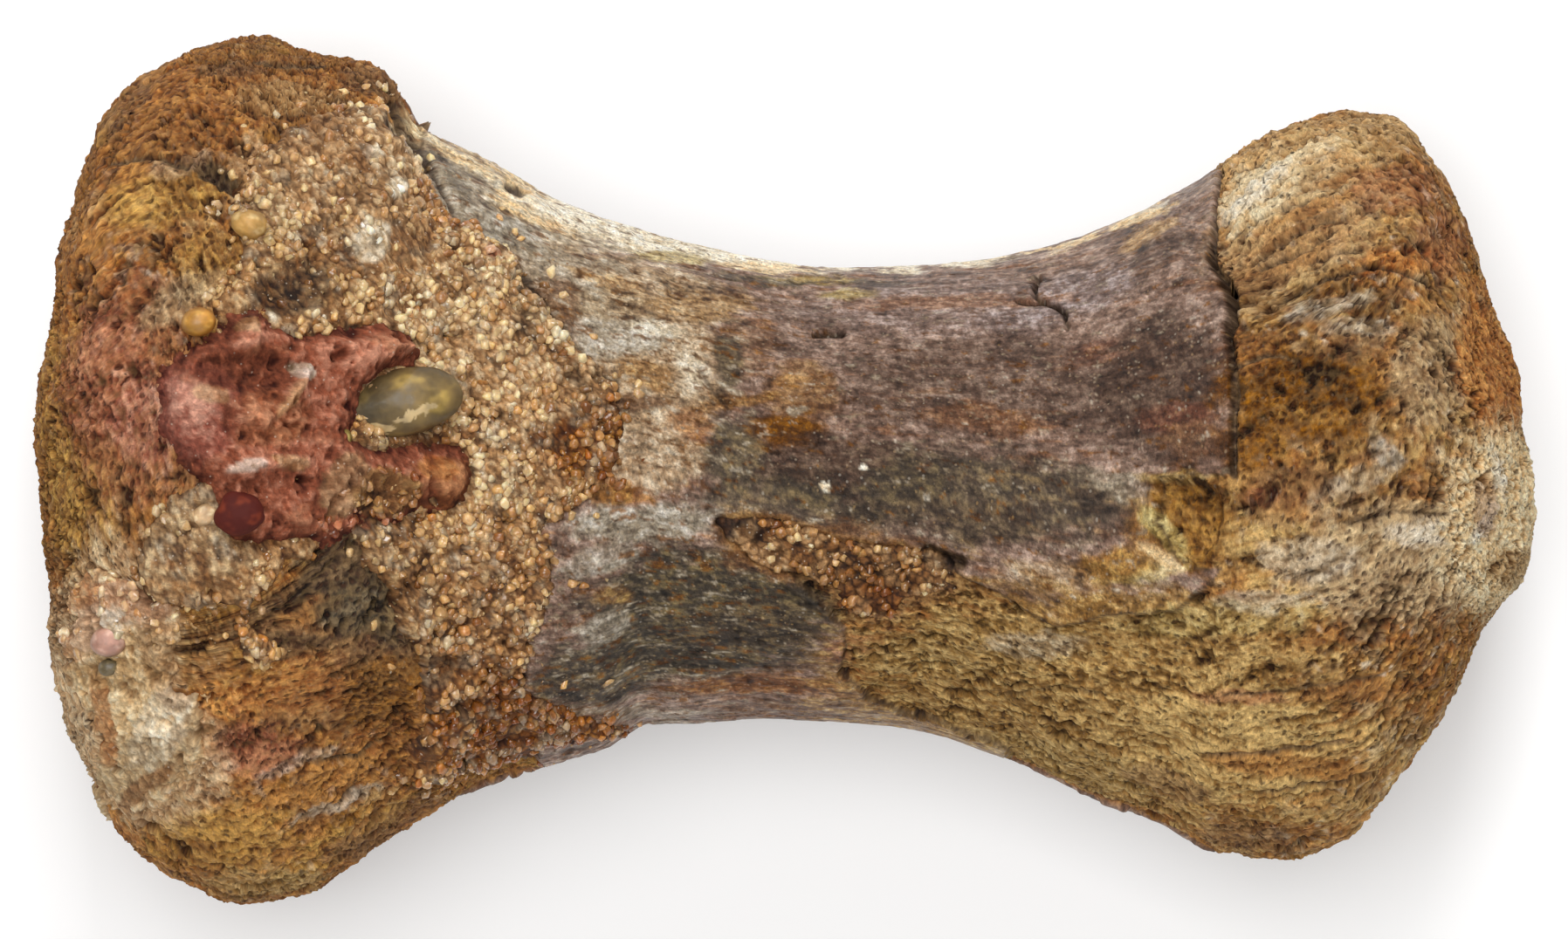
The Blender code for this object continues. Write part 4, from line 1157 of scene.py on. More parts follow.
def new_group(name: str, inputs: dict[str, float | None], outputs: tuple[str, ...],
              ) -> tuple[Shades, object, bpy.types.Node]:
    """An empty shader node group.

    Args:
        name: Its name.
        inputs: Value of each input by its name, and None where it is a vector.
        outputs: Name of each output.

    Returns:
        The group's helper, its inputs and its output node.
    """
    tree = bpy.data.node_groups.new(name, "ShaderNodeTree")
    for label, value in inputs.items():
        kind = "NodeSocketVector" if value is None else "NodeSocketFloat"
        socket = tree.interface.new_socket(label, in_out="INPUT", socket_type=kind)
        if value is not None:
            socket.default_value = value
    for label in outputs:
        tree.interface.new_socket(label, in_out="OUTPUT", socket_type="NodeSocketFloat")
    return Shades(tree), tree.nodes.new("NodeGroupInput").outputs, tree.nodes.new("NodeGroupOutput")


class Effects:
    """Shader node groups that several finishes share, each built once."""

    def __init__(self) -> None:
        """Builds the groups."""
        self.streaks = self.make_streaks()
        self.speckle = self.make_speckle()
        self.pores = self.make_pores()

    @staticmethod
    def make_streaks() -> bpy.types.NodeTree:
        """Fine bone fibres: a value from 0 to 1 drawn out along the flow.

        Returns:
            The group.
        """
        shades, source, sink = new_group("bone_streaks", {"Flow": None, "Along": 1.0, "Across": 4.0},
                                         ("Value",))
        fine = shades.node("ShaderNodeTexNoise", {
            "Vector": shades.drawn(source["Flow"], source["Along"], source["Across"]), "Scale": 1.0,
            "Detail": 5.0, "Roughness": 0.68, "Distortion": 0.3})
        shades.feed(sink, {0: shades.span(fine.outputs[0], 0.28, 0.72)})
        return shades.tree

    @staticmethod
    def make_speckle() -> bpy.types.NodeTree:
        """Tiny mineral flecks: a mask of the bright ones and a mask of the dark ones.

        Returns:
            The group.
        """
        shades, source, sink = new_group(
            "mineral_speckle", {"Vector": None, "Scale": 9.0, "Bright share": 0.1, "Dark share": 0.1},
            ("Bright", "Dark", "Random"))
        cells = shades.node("ShaderNodeTexVoronoi", {
            "Vector": source["Vector"], "Scale": source["Scale"], "Randomness": 1.0})
        parts = shades.node("ShaderNodeSeparateColor", {0: cells.outputs["Color"]}).outputs
        core = shades.span(cells.outputs["Distance"], 0.5, 0.25)
        bright = shades.math("LESS_THAN", parts[0], source["Bright share"])
        dark = shades.math("LESS_THAN", parts[1], source["Dark share"])
        shades.feed(sink, {0: shades.times(bright, core), 1: shades.times(dark, core), 2: parts[2]})
        return shades.tree

    @staticmethod
    def make_pores() -> bpy.types.NodeTree:
        """Small pits of spongy bone: masks of the pits and of their walls, drawn out along the flow.

        Returns:
            The group.
        """
        shades, source, sink = new_group("bone_pores", {"Flow": None, "Along": 1.7, "Across": 3.4},
                                         ("Pits", "Walls"))
        wobble = shades.node("ShaderNodeTexNoise", {"Vector": source["Flow"], "Scale": 2.2, "Detail": 2.0})
        moved = shades.vector("MULTIPLY", wobble.outputs["Color"], (0.45, 0.45, 0.45))
        placed = shades.vector("ADD", source["Flow"], moved)
        cells = shades.node("ShaderNodeTexVoronoi", {
            "Vector": shades.drawn(placed, source["Along"], source["Across"]), "Scale": 1.0}).outputs
        chosen = shades.node("ShaderNodeSeparateColor", {0: cells["Color"]})
        kept = shades.span(chosen.outputs[0], 0.38, 0.7)
        pits = shades.times(shades.span(cells["Distance"], 0.52, 0.12), kept)
        shades.feed(sink, {0: pits, 1: shades.span(cells["Distance"], 0.35, 0.75)})
        return shades.tree


def new_material(name: str) -> tuple[bpy.types.Material, Shades, bpy.types.Node]:
    """A new material.

    Args:
        name: Its name.

    Returns:
        The material, its node helper and its Principled shader.
    """
    material = bpy.data.materials.new(name)
    material.use_nodes = True
    return material, Shades(material.node_tree), material.node_tree.nodes["Principled BSDF"]


@dataclass(frozen=True)
class BoneFinish:
    """Mineralised bone: a smooth dark shell with mineral flecks, and rough fibrous bone where it flaked, with
    painted shade in its pores.
    """

    name: str = "fossil_bone_surface"
    shell_roughness: float = 0.38
    rough_roughness: float = 0.90
    gloss: float = 0.28
    pore_shade_colour: tuple = (0.060, 0.020, 0.007, 1.0)
    wall_colour: tuple = (0.62, 0.37, 0.14, 1.0)
    fleck_colours: tuple = ((0.50, 0.29, 0.09, 1.0), (0.62, 0.56, 0.46, 1.0))
    dark_colour: tuple = (0.03, 0.018, 0.012, 1.0)
    relief: float = 0.16

    def build(self, effects: Effects) -> bpy.types.Material:
        """Makes the material.

        Args:
            effects: The shared node groups.

        Returns:
            The material.
        """
        material, shades, shader = new_material(self.name)
        tint, flow = shades.stored("tint", "Color"), shades.stored("flow", "Vector")
        shell = shades.stored("shell", "Fac")
        rough = shades.math("SUBTRACT", 1.0, shell)
        streaks = shades.group(effects.streaks, {"Flow": flow, "Along": 1.3, "Across": 4.6})[0]
        pores = shades.group(effects.pores, {"Flow": flow, "Along": 2.3, "Across": 3.7})
        specks = shades.group(effects.speckle, {
            "Vector": flow, "Scale": 5.2, "Bright share": 0.10, "Dark share": 0.12})
        grit = shades.cloud(flow, 6.5, 4.0, 0.75, 0.3)
        shade = shades.mix(shades.line(rough, 0.16, 0.24), grit, streaks)
        pits = shades.times(pores["Pits"], rough)
        tone = shades.gained(tint, shades.line(shade, 1.15, 0.44))
        # Painted shade in the pores.
        tone = shades.mix(shades.times(pits, 0.70), tone, self.pore_shade_colour)
        tone = shades.mix(shades.times(shades.times(pores["Walls"], rough), 0.14), tone, self.wall_colour)
        fleck = shades.mix(specks["Random"], *self.fleck_colours)
        tone = shades.mix(shades.times(specks["Bright"], shades.line(shell, 0.22, 0.10)), tone, fleck)
        tone = shades.mix(shades.times(specks["Dark"], 0.35), tone, self.dark_colour)
        roughness = shades.line(rough, self.rough_roughness - self.shell_roughness, self.shell_roughness)
        roughness = shades.line(shades.math("SUBTRACT", grit, 0.5), 0.22, roughness)
        height = shades.math("SUBTRACT", shades.times(shade, 0.5), shades.times(pits, 1.1))
        height = shades.times(height, shades.line(rough, 0.75, 0.25))
        height = shades.line(shell, shades.times(grit, 0.16), height)
        shades.feed(shader, {"Base Color": tone, "Roughness": roughness, "Specular IOR Level": self.gloss,
                             "Normal": shades.bump(height, self.relief)})
        return material


@dataclass(frozen=True)
class EarthFinish:
    """Dull earthy stone: cement, clay or limy crust, from the piece's own tint with fine grit."""

    name: str
    roughness: float
    grit_scale: float
    contrast: float
    relief: float
    speck_share: float
    gloss: float = 0.3
    bright_colour: tuple = (0.78, 0.66, 0.52, 1.0)
    dark_colour: tuple = (0.10, 0.045, 0.025, 1.0)

    def build(self, effects: Effects) -> bpy.types.Material:
        """Makes the material.

        Args:
            effects: The shared node groups.

        Returns:
            The material.
        """
        material, shades, shader = new_material(self.name)
        tint, flow = shades.stored("tint", "Color"), shades.stored("flow", "Vector")
        grit = shades.cloud(flow, self.grit_scale, 5.0, 0.7, 0.28)
        tone = shades.gained(tint, shades.line(grit, self.contrast, 1.0 - 0.5 * self.contrast))
        specks = shades.group(effects.speckle, {
            "Vector": flow, "Scale": 2.0 * self.grit_scale, "Bright share": self.speck_share,
            "Dark share": self.speck_share})
        tone = shades.mix(shades.times(specks["Bright"], 0.4), tone, self.bright_colour)
        tone = shades.mix(shades.times(specks["Dark"], 0.4), tone, self.dark_colour)
        roughness = shades.span(grit, 0.0, 1.0, self.roughness - 0.06, self.roughness + 0.06)
        shades.feed(shader, {"Base Color": tone, "Roughness": roughness, "Specular IOR Level": self.gloss,
                             "Normal": shades.bump(grit, self.relief)})
        return material


@dataclass(frozen=True)
class QuartzFinish:
    """Quartz: a slightly clear grain or pebble, from the piece's own tint and each grain's own number."""

    name: str
    roughness: float
    clearness: float
    depth: float
    cloud_scale: float
    variety: float
    gloss: float = 0.6
    relief: float = 0.03
    kinds: tuple = ((0.0, (0.60, 0.45, 0.32)), (0.16, (0.85, 0.72, 0.58)), (0.40, (1.0, 0.95, 0.88)),
                    (0.66, (1.25, 1.24, 1.20)), (0.92, (1.6, 1.62, 1.62)), (1.0, (1.2, 0.85, 0.50)))

    def build(self) -> bpy.types.Material:
        """Makes the material.

        Returns:
            The material.
        """
        material, shades, shader = new_material(self.name)
        tint, place = shades.stored("tint", "Color"), shades.node("ShaderNodeTexCoord").outputs["Object"]
        ramp = shades.node("ShaderNodeValToRGB", {0: shades.stored("grain", "Fac")})
        elements = ramp.color_ramp.elements
        elements[0].position, elements[1].position = self.kinds[0][0], self.kinds[-1][0]
        for position, _ in self.kinds[1:-1]:
            elements.new(position)
        for element, (_, colour) in zip(elements, self.kinds):
            element.color = (*colour, 1.0)
        tone = shades.mix(self.variety, tint, shades.mix(1.0, tint, ramp.outputs[0], "MULTIPLY"))
        cloud = shades.cloud(place, self.cloud_scale / MM, 3.0, 0.6, 0.3)
        tone = shades.gained(tone, shades.line(cloud, 0.6, 0.72))
        roughness = shades.span(cloud, 0.0, 1.0, self.roughness - 0.08, self.roughness + 0.1)
        shades.feed(shader, {
            "Base Color": tone, "Roughness": roughness, "Specular IOR Level": self.gloss,
            "Subsurface Weight": self.clearness, "Subsurface Radius": (1.0, 0.7, 0.4),
            "Subsurface Scale": self.depth * MM, "Normal": shades.bump(cloud, self.relief, 0.5)})
        return material


class Detail(Enum):
    """How finely the meshes are made."""

    QUICK = 0.55
    FULL = 1.0


DETAIL = Detail.FULL


@dataclass
class Bone:
    """The bone, as five closed lengths that meet at hidden walls."""

    cuts: tuple[float, ...] = (-32.0, -14.5, 4.5, 23.4)
    names: tuple[str, ...] = ("bone_wide_face", "bone_wide_end", "bone_shaft_left", "bone_shaft_right",
                              "bone_narrow_end")
    rows: tuple[int, ...] = (186, 180, 168, 168, 186)
    front_columns: int = 410
    back_columns: int = 112
    past_level: float = 0.10

    def angles(self) -> Array:
        """Places the columns, closer together on the side that looks up.

        Returns:
            Angle of each column.
        """
        front, back = (int(count * DETAIL.value) for count in (self.front_columns, self.back_columns))
        low, high = -self.past_level, math.pi + self.past_level
        return np.concatenate([np.linspace(low, high, front, endpoint=False),
                               np.linspace(high, 2.0 * math.pi + low, back, endpoint=False)])

    def length(self, name: str, start: float, end: float, rows: int) -> bpy.types.Mesh:
        """One closed length of the bone.

        Args:
            name: Its name.
            start: Where it starts, as a distance over the surface.
            end: Where it ends.
            rows: How many rings it has.

        Returns:
            Its mesh.
        """
        angles = self.angles()
        first, last = FORM.arc_ends
        lead = np.linspace(start, end, int(rows * DETAIL.value))
        step = lead[1] - lead[0]
        arcs = np.concatenate([[start - step], lead, [end + step]])
        arcs = np.clip(arcs, first + 0.02 * (start == first), last - 0.02 * (end == last))
        site = FORM.site(arcs, angles, True)
        weather = Weather(site)
        points = site.points + weather.height[..., None] * site.normals
        points[..., 2] = np.where(site.points[..., 2] < 0.02, 0.0, np.maximum(points[..., 2], 0.0))
        tint, shell = weather.paint()
        normals = grid_normals(points)
        points, tint, shell, flow, normals = (
            value[1:-1] for value in (points, tint, shell, site.flow, normals))
        count, columns = points.shape[:2]
        faces = grid_faces(count, columns, True).tolist()
        ends = []
        for row, turn in ((0, 1), (count - 1, -1)):
            middle = count * columns + len(ends)
            ends.append(row)
            ring = list(range(row * columns, (row + 1) * columns))
            faces += [(a, middle, b)[::turn] for a, b in zip(ring, ring[1:] + ring[:1])]
        values = {}
        for key, value in (("tint", tint), ("shell", shell[..., None]), ("flow", flow)):
            caps = np.stack([value[row].mean(axis=0) for row in ends])
            values[key] = np.concatenate([value.reshape(-1, value.shape[-1]), caps])
        caps = np.stack([points[row].mean(axis=0) for row in ends])
        normals = np.concatenate([normals.reshape(-1, 3), [(-1.0, 0.0, 0.0), (1.0, 0.0, 0.0)]])
        return new_mesh(name, np.concatenate([points.reshape(-1, 3), caps]), faces, values, normals)

    def build(self, material: bpy.types.Material) -> list[bpy.types.Object]:
        """Makes the lengths.

        Args:
            material: The bone's finish.

        Returns:
            The pieces.
        """
        bounds = [FORM.arc_ends[0], *(FORM.arc_of(x) for x in self.cuts), FORM.arc_ends[1]]
        return [
            new_piece(self.length(name, start, end, rows), material, "fossil_bone", "bone")
            for name, start, end, rows in zip(self.names, bounds, bounds[1:], self.rows)
        ]


@dataclass(frozen=True)
class Bump:
    """A rounded rise or hollow on a lump, seen on the picture."""

    patch: Patch
    height: float
    edge: float

    def rise(self, u: Array, v: Array) -> Array:
        """Height that it adds at each place."""
        return self.height * ease(self.patch.depth(u, v), 0.0, self.edge)


def bumps(*rows: tuple[float, ...]) -> tuple[Bump, ...]:
    """Bumps from rows of height, edge, x, y, half length and half width, and a turn where it has one."""
    return tuple(Bump(Patch(*row[2:]), *row[:2]) for row in rows)


@dataclass
class Ground:
    """One cover's grid: its places, how deep each lies inside the cover, and what the covers share."""

    site: Site
    depth: Array
    cemented: tuple[Array, Array, Array]
    lumps: Array


@dataclass
class Cover:
    """Something cemented onto the bone, as a closed slab that follows its surface."""

    name: str
    node: str
    slot: str
    areas: tuple[Area, ...]
    x: tuple[float, float]
    angle: tuple[float, float]
    cell: float
    around: float
    thickness: float = 1.6
    edge: float = 0.26
    sink: float = 1.2
    fray: float = 0.10
    spread: float = PAST_EDGE
    grain: float = 0.52
    ground: Ground = field(init=False)
    surface: Array = field(init=False)

    def __post_init__(self) -> None:
        """Lays the grid."""
        cell = self.cell / DETAIL.value
        start, end = FORM.arc_of(self.x[0]), FORM.arc_of(self.x[1])
        arcs = np.linspace(start, end, int((end - start) / cell))
        angles = np.linspace(*self.angle, int(self.around / cell))
        site = FORM.site(arcs, angles, False)
        depth = deepest(self.areas, site.ragged_u, site.ragged_v) - BEHIND * (1.0 - site.front)
        depth = depth + self.fray * GRAIN.layered(site.points / 1.8 + 61.0, 4, 0.7)
        cemented = GRAIN.cells(site.points / self.grain + 0.25 * GRAIN.smooth(site.points / 0.5)[..., None])
        self.ground = Ground(site, depth, cemented, GRAIN.layered(site.points / 3.2 + 21.0, 3))

    def rise(self) -> Array:
        """Height of the cover's top over the bone's plain form, away from its edge."""
        raise NotImplementedError

    def colour(self) -> Paint:
        """The tones of every point of the top."""
        raise NotImplementedError

    def shade(self, rise: Array) -> Array:
        """Which tone each point of the top takes, with painted shade where it lies low and painted light
        where it stands high.
        """
        raise NotImplementedError

    def stained(self, finish: Finish, stained: tuple[Stain, ...]) -> Paint:
        """Paints the top.

        Args:
            finish: The finish all over it.
            stained: The stains on it.

        Returns:
            The paint.
        """
        site = self.ground.site
        paint = Paint.plain(site.u.shape, finish)
        broken = GRAIN.layered(site.points / 0.9 + 230.0, 3, 0.7)
        for stain in stained:
            depth = stain.patch.depth(site.ragged_u, site.ragged_v)
            paint.over(stain.finish, stain.patch.amount * ease(depth + 0.3 * broken, -0.04, 0.2))
        return paint

    def seat(self, x: float, y: float) -> Vector:
        """The point of the surface that shows at a place on the picture."""
        away = np.hypot(self.ground.site.u - x, self.ground.site.v - y)
        return Vector(self.surface.reshape(-1, 3)[away.argmin()])

    def density(self) -> Array:
        """How closely loose grains lie at each point, from 0 to 1."""
        return ease(self.ground.depth, 0.02, 0.12)

    def levels(self) -> Array:
        """Height of every point over the plain form, sunk into the bone past the edge."""
        share = ease(self.ground.depth, -0.04, self.edge)
        return share * self.rise() - (1.0 - share) * self.sink

    def deeper(self, past: float) -> Array:
        """Which cells lie inside the cover or less than a little past its edge."""
        deep = self.ground.depth > -past
        return deep[:-1, :-1] & deep[1:, :-1] & deep[:-1, 1:] & deep[1:, 1:]

    def kept(self) -> Array:
        """Picks the slab's cells, with no two that meet at a corner alone.

        Returns:
            True for each cell that is part of it.
        """
        kept = self.deeper(PAST_EDGE)
        while True:
            a, b, c, d = kept[:-1, :-1], kept[:-1, 1:], kept[1:, :-1], kept[1:, 1:]
            lone = (a & d & ~b & ~c) | (b & c & ~a & ~d)
            if not lone.any():
                return kept
            for part in (a, b, c, d):
                part |= lone

    def meshes(self) -> tuple[bpy.types.Mesh, bpy.types.Mesh]:
        """Makes the cover.

        Returns:
            The closed slab, and its top alone for grains to lie on.
        """
        site, rise = self.ground.site, self.levels()
        top = site.points + rise[..., None] * site.normals
        under = site.points - self.thickness * site.normals
        rows, columns = rise.shape
        cells = grid_faces(rows, columns, False).reshape(rows - 1, columns - 1, 4)[self.kept()]
        used, faces = np.unique(cells, return_inverse=True)
        faces = faces.reshape(-1, 4)
        count = len(used)
        edges = np.concatenate([faces[:, [i, (i + 1) % 4]] for i in range(4)])
        _, first, times = np.unique(np.sort(edges, axis=1), axis=0, return_index=True, return_counts=True)
        rim = edges[first[times == 1]]
        walls = np.stack([rim[:, 1], rim[:, 0], rim[:, 0] + count, rim[:, 1] + count], axis=1)
        paint = self.colour()
        tint = paint.mixed(self.shade(rise)).reshape(-1, 3)[used]
        values = {"tint": np.tile(tint, (2, 1)), "flow": np.tile(site.points.reshape(-1, 3)[used], (2, 1))}
        points = np.concatenate([top.reshape(-1, 3)[used], under.reshape(-1, 3)[used]])
        closed = np.concatenate([faces, faces[:, ::-1] + count, walls])
        return new_mesh(self.name, points, closed.tolist(), values), self.bed(rise, paint)

    def bed(self, rise: Array, paint: Paint) -> bpy.types.Mesh:
        """What the loose grains lie on: the slab's top, and the bone itself a little past its edge.

        Args:
            rise: Height of the slab over the bone's plain form.
            paint: The tones of every point.

        Returns:
            The open mesh, with how closely the grains lie and their colour.
        """
        site = self.ground.site
        if self.spread > 0.1:
            rise = np.maximum(rise, Weather(site).height)
        points = site.points + rise[..., None] * site.normals
        self.surface = points
        low, high = (np.array(corner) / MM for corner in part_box(self.node))
        inside = np.minimum(points - low, high - points).min(axis=-1)
        density = self.density() * (inside > 0.3)
        rows, columns = rise.shape
        cells = grid_faces(rows, columns, False).reshape(rows - 1, columns - 1, 4)[self.deeper(self.spread)]
        used, faces = np.unique(cells, return_inverse=True)
        values = {"tint": paint.mixed(0.6 + 0.3 * self.ground.lumps).reshape(-1, 3)[used],
                  "density": density.reshape(-1, 1)[used]}
        points, faces = points.reshape(-1, 3)[used], faces.reshape(-1, 4).tolist()
        return new_mesh(f"{self.name}_bed", points, faces, values)


@dataclass
class SandCover(Cover):
    """Coarse quartz sand cemented onto the wide end."""

    name: str = "sandstone"
    node: str = "sandstone_crust"
    slot: str = "sandstone"
    areas: tuple[Area, ...] = SAND_AREA
    x: tuple[float, float] = (-37.6, -3.6)
    angle: tuple[float, float] = (-0.2, math.pi + 0.2)
    cell: float = 0.16
    around: float = 66.0
    edge: float = 0.22
    spread: float = 0.5
    holes: tuple[Bump, ...] = bumps(
        (-0.7, 0.7, 460, 150, 26, 34, 60), (-0.6, 0.7, 592, 221, 14, 8), (-0.5, 0.7, 518, 285, 16, 9),
        (-0.5, 0.7, 470, 350, 20, 18), (-0.4, 0.7, 560, 700, 18, 40, 70), (-0.5, 0.7, 430, 590, 34, 24),
        (-0.4, 0.7, 505, 770, 30, 18, 20), (-0.3, 0.7, 640, 520, 24, 14),
        (-0.3, 0.7, 655, 430, 30, 12, 40), (-0.4, 0.7, 250, 700, 40, 16), (-0.35, 0.7, 330, 335, 60, 40),
        (-0.4, 0.7, 472, 468, 66, 42, 12),
    )
    bare: tuple[Patch, ...] = (
        Patch(330, 335, 54, 36), Patch(430, 590, 46, 30), Patch(500, 770, 40, 30),
        Patch(200, 650, 70, 40), Patch(470, 160, 20, 40, -60), Patch(395, 690, 110, 90),
        Patch(400, 190, 90, 80), Patch(440, 290, 70, 40), Patch(210, 500, 40, 120),
    )
    stains: tuple[Stain, ...] = stains(
        (SAND_ORANGE, 690, 505, 100, 56, 1), (SAND_ORANGE, 600, 840, 150, 50, 1),
        (SAND_PALE, 560, 400, 150, 110, 0.9), (SAND_PALE, 560, 560, 90, 60, 0.5),
        (SAND_PALE, 400, 190, 110, 90, 0.8), (SAND_ORANGE, 350, 150, 60, 30, 0.5),
        (SAND_BROWN, 440, 240, 60, 14, 0.5, -40), (SAND_ORANGE, 540, 830, 120, 90, 0.8),
        # Both BLACK patches on this line are painted shade in the crevice from 596, 318 to 700, 450.
        (BLACK, 610, 345, 14, 50, 0.6), (BLACK, 650, 425, 40, 10, 0.6, -50),
        (SLATE, 520, 212, 60, 12, 0.7, -40), (PINK_GREY, 300, 250, 40, 40, 0.5),
        (SAND_ORANGE, 520, 240, 60, 26, 0.6, -30), (SAND_PALE, 640, 300, 60, 30, 0.4, -30),
        (CREAM, 420, 278, 26, 24, 0.7), (CREAM, 424, 178, 14, 9, 0.8), (CREAM, 447, 220, 13, 11, 0.8),
        # The BLACK at 458, 150 is painted shade in the hole there.
        (CREAM, 315, 362, 8, 7, 0.8), (RED, 558, 292, 10, 9, 0.9), (BLACK, 458, 150, 22, 30, 0.8, 60),
        # The BLACK at 335, 336 is painted shade in the hollow there.
        (SAND_BROWN, 345, 330, 60, 34, 0.9), (BLACK, 335, 336, 50, 28, 0.5),
        (SAND_BROWN, 430, 590, 60, 34, 0.8), (SAND_BROWN, 480, 700, 50, 80, 0.5, 20),
        (PINK_GREY, 200, 620, 100, 50, 0.5), (CLAY, 385, 600, 40, 14, 0.6),
        (SAND_BROWN, 300, 700, 60, 24, 0.5),
    )

    def rise(self) -> Array:
        """Lumpy ground with grains that stand out of it.

        Returns:
            Height above the bone's plain form.
        """
        ground = self.ground
        near, _, share = ground.cemented
        u, v = ground.site.ragged_u, ground.site.ragged_v
        dome = (0.10 + 0.16 * share) * ease(0.72 - near, 0.0, 0.5)
        cuts = sum(hole.rise(u, v) for hole in self.holes)
        pits = GRAIN.layered(ground.site.points / 1.1 + 140.0, 3, 0.6)
        rough = 0.35 * pits - 0.5 * ease(-pits, 0.22, 0.45)
        open_air = ease(-deepest(CLAY_AREA, u, v), -0.06, 0.04)
        return 0.05 + open_air * (0.28 + 0.6 * ground.lumps + dome + cuts + rough)

    def colour(self) -> Paint:
        """Beige with orange, brown and powdery white places, and painted shade in some crevices and holes.

        Returns:
            The tones of every point.
        """
        paint = self.stained(SAND, self.stains)
        points = self.ground.site.points
        clouds = ((SAND_BROWN, 2.6, 0.7), (SAND_ORANGE, 3.4, 0.6), (PINK_GREY, 2.0, 0.5),
                  (GREY_WHITE, 1.3, 0.6))
        for number, (finish, size, amount) in enumerate(clouds):
            cloud = GRAIN.layered(points / size + 500.0 + 13.0 * number, 4, 0.7)
            paint.over(finish, amount * ease(cloud, 0.08, 0.30))
        return paint

    def shade(self, rise: Array) -> Array:
        """Pale grains in browner cement, with painted shade in the gaps between grains and where the top lies
        low.

        Args:
            rise: Height of the top.

        Returns:
            0 for the dark tone to 1 for the pale one.
        """
        near, second, share = self.ground.cemented
        fine = GRAIN.layered(self.ground.site.points / 0.3 + 70.0, 2)
        gap = ease(second - near, 0.02, 0.30)
        return 0.16 + 0.44 * gap + 0.34 * (share - 0.5) + 0.24 * fine + 0.34 * (rise - 0.4)

    def density(self) -> Array:
        """Few grains in the holes, none under the clay.

        Returns:
            How closely grains lie at each point, from 0 to 1.
        """
        ground = self.ground
        clay = deepest(CLAY_AREA, ground.site.ragged_u, ground.site.ragged_v)
        clear = GRAIN.layered(ground.site.points / 1.6 + 11.0, 4, 0.7)
        bare = deepest(self.bare, ground.site.ragged_u, ground.site.ragged_v)
        most = (0.12 + 0.88 * ease(clear, -0.22, 0.06)) * (1.0 - 0.75 * ease(bare, -0.1, 0.3))
        edge = 0.9 * ease(ground.depth, 0.0, 0.25) + 0.1 * ease(ground.depth, -self.spread, 0.0)
        return edge * ease(-clay, -0.06, 0.02) * most


@dataclass
class FissureCover(Cover):
    """Sand that fills the fissure, lower than the bone around it."""

    name: str = "fissure_fill"
    node: str = "fissure_sand"
    slot: str = "sandstone"
    areas: tuple[Area, ...] = FISSURE_AREA
    x: tuple[float, float] = (-6.5, 12.0)
    angle: tuple[float, float] = (1.3, 2.5)
    cell: float = 0.10
    around: float = 20.0
    thickness: float = 2.0
    edge: float = 0.22
    fray: float = 0.34

    def rise(self) -> Array:
        """Rough ground below the bone's surface.

        Returns:
            Height above the bone's plain form.
        """
        near = self.ground.cemented[0]
        rough = GRAIN.layered(self.ground.site.points / 0.9 + 140.0, 3, 0.6)
        return -0.22 + 0.4 * self.ground.lumps + 0.18 * ease(0.72 - near, 0.0, 0.5) + 0.5 * rough

    def colour(self) -> Paint:
        """Brown with orange clouds, and painted shade in its two holes.

        Returns:
            The tones of every point.
        """
        paint = self.stained(SAND_BROWN, stains(
            # Both BLACK patches are painted shade in the fissure's holes.
            (BLACK, 838, 602, 40, 20, 1, -20), (BLACK, 1084, 642, 34, 14, 1, -8),
            (RUST, 1000, 690, 50, 20, 0.7),
        ))
        broad = GRAIN.layered(self.ground.site.points / 1.4 + 33.0, 2)
        paint.over(SAND_ORANGE, 0.3 * ease(broad, -0.1, 0.3))
        paint.over(SAND_PALE, 0.8 * ease(-broad, -0.1, 0.3))
        return paint

    def shade(self, rise: Array) -> Array:
        """Dark cement with a few paler grains, with painted shade in the gaps between grains and where the
        top lies low.
        """
        near, second, share = self.ground.cemented
        return 0.38 * ease(second - near, 0.02, 0.3) + 0.3 * (share - 0.5) + 0.5 * (rise + 0.22)

    def density(self) -> Array:
        """Grains lie in the middle of it.

        Returns:
            How closely grains lie at each point, from 0 to 1.
        """
        site = self.ground.site
        clear = GRAIN.layered(site.points / 1.2 + 11.0, 3, 0.7)
        holes = (Patch(838, 602, 36, 20, -20), Patch(1084, 642, 30, 14))
        holes = deepest(holes, site.ragged_u, site.ragged_v)
        return ease(clear, -0.15, 0.15) * ease(self.ground.depth, 0.1, 0.3) * ease(-holes, -0.2, 0.0)


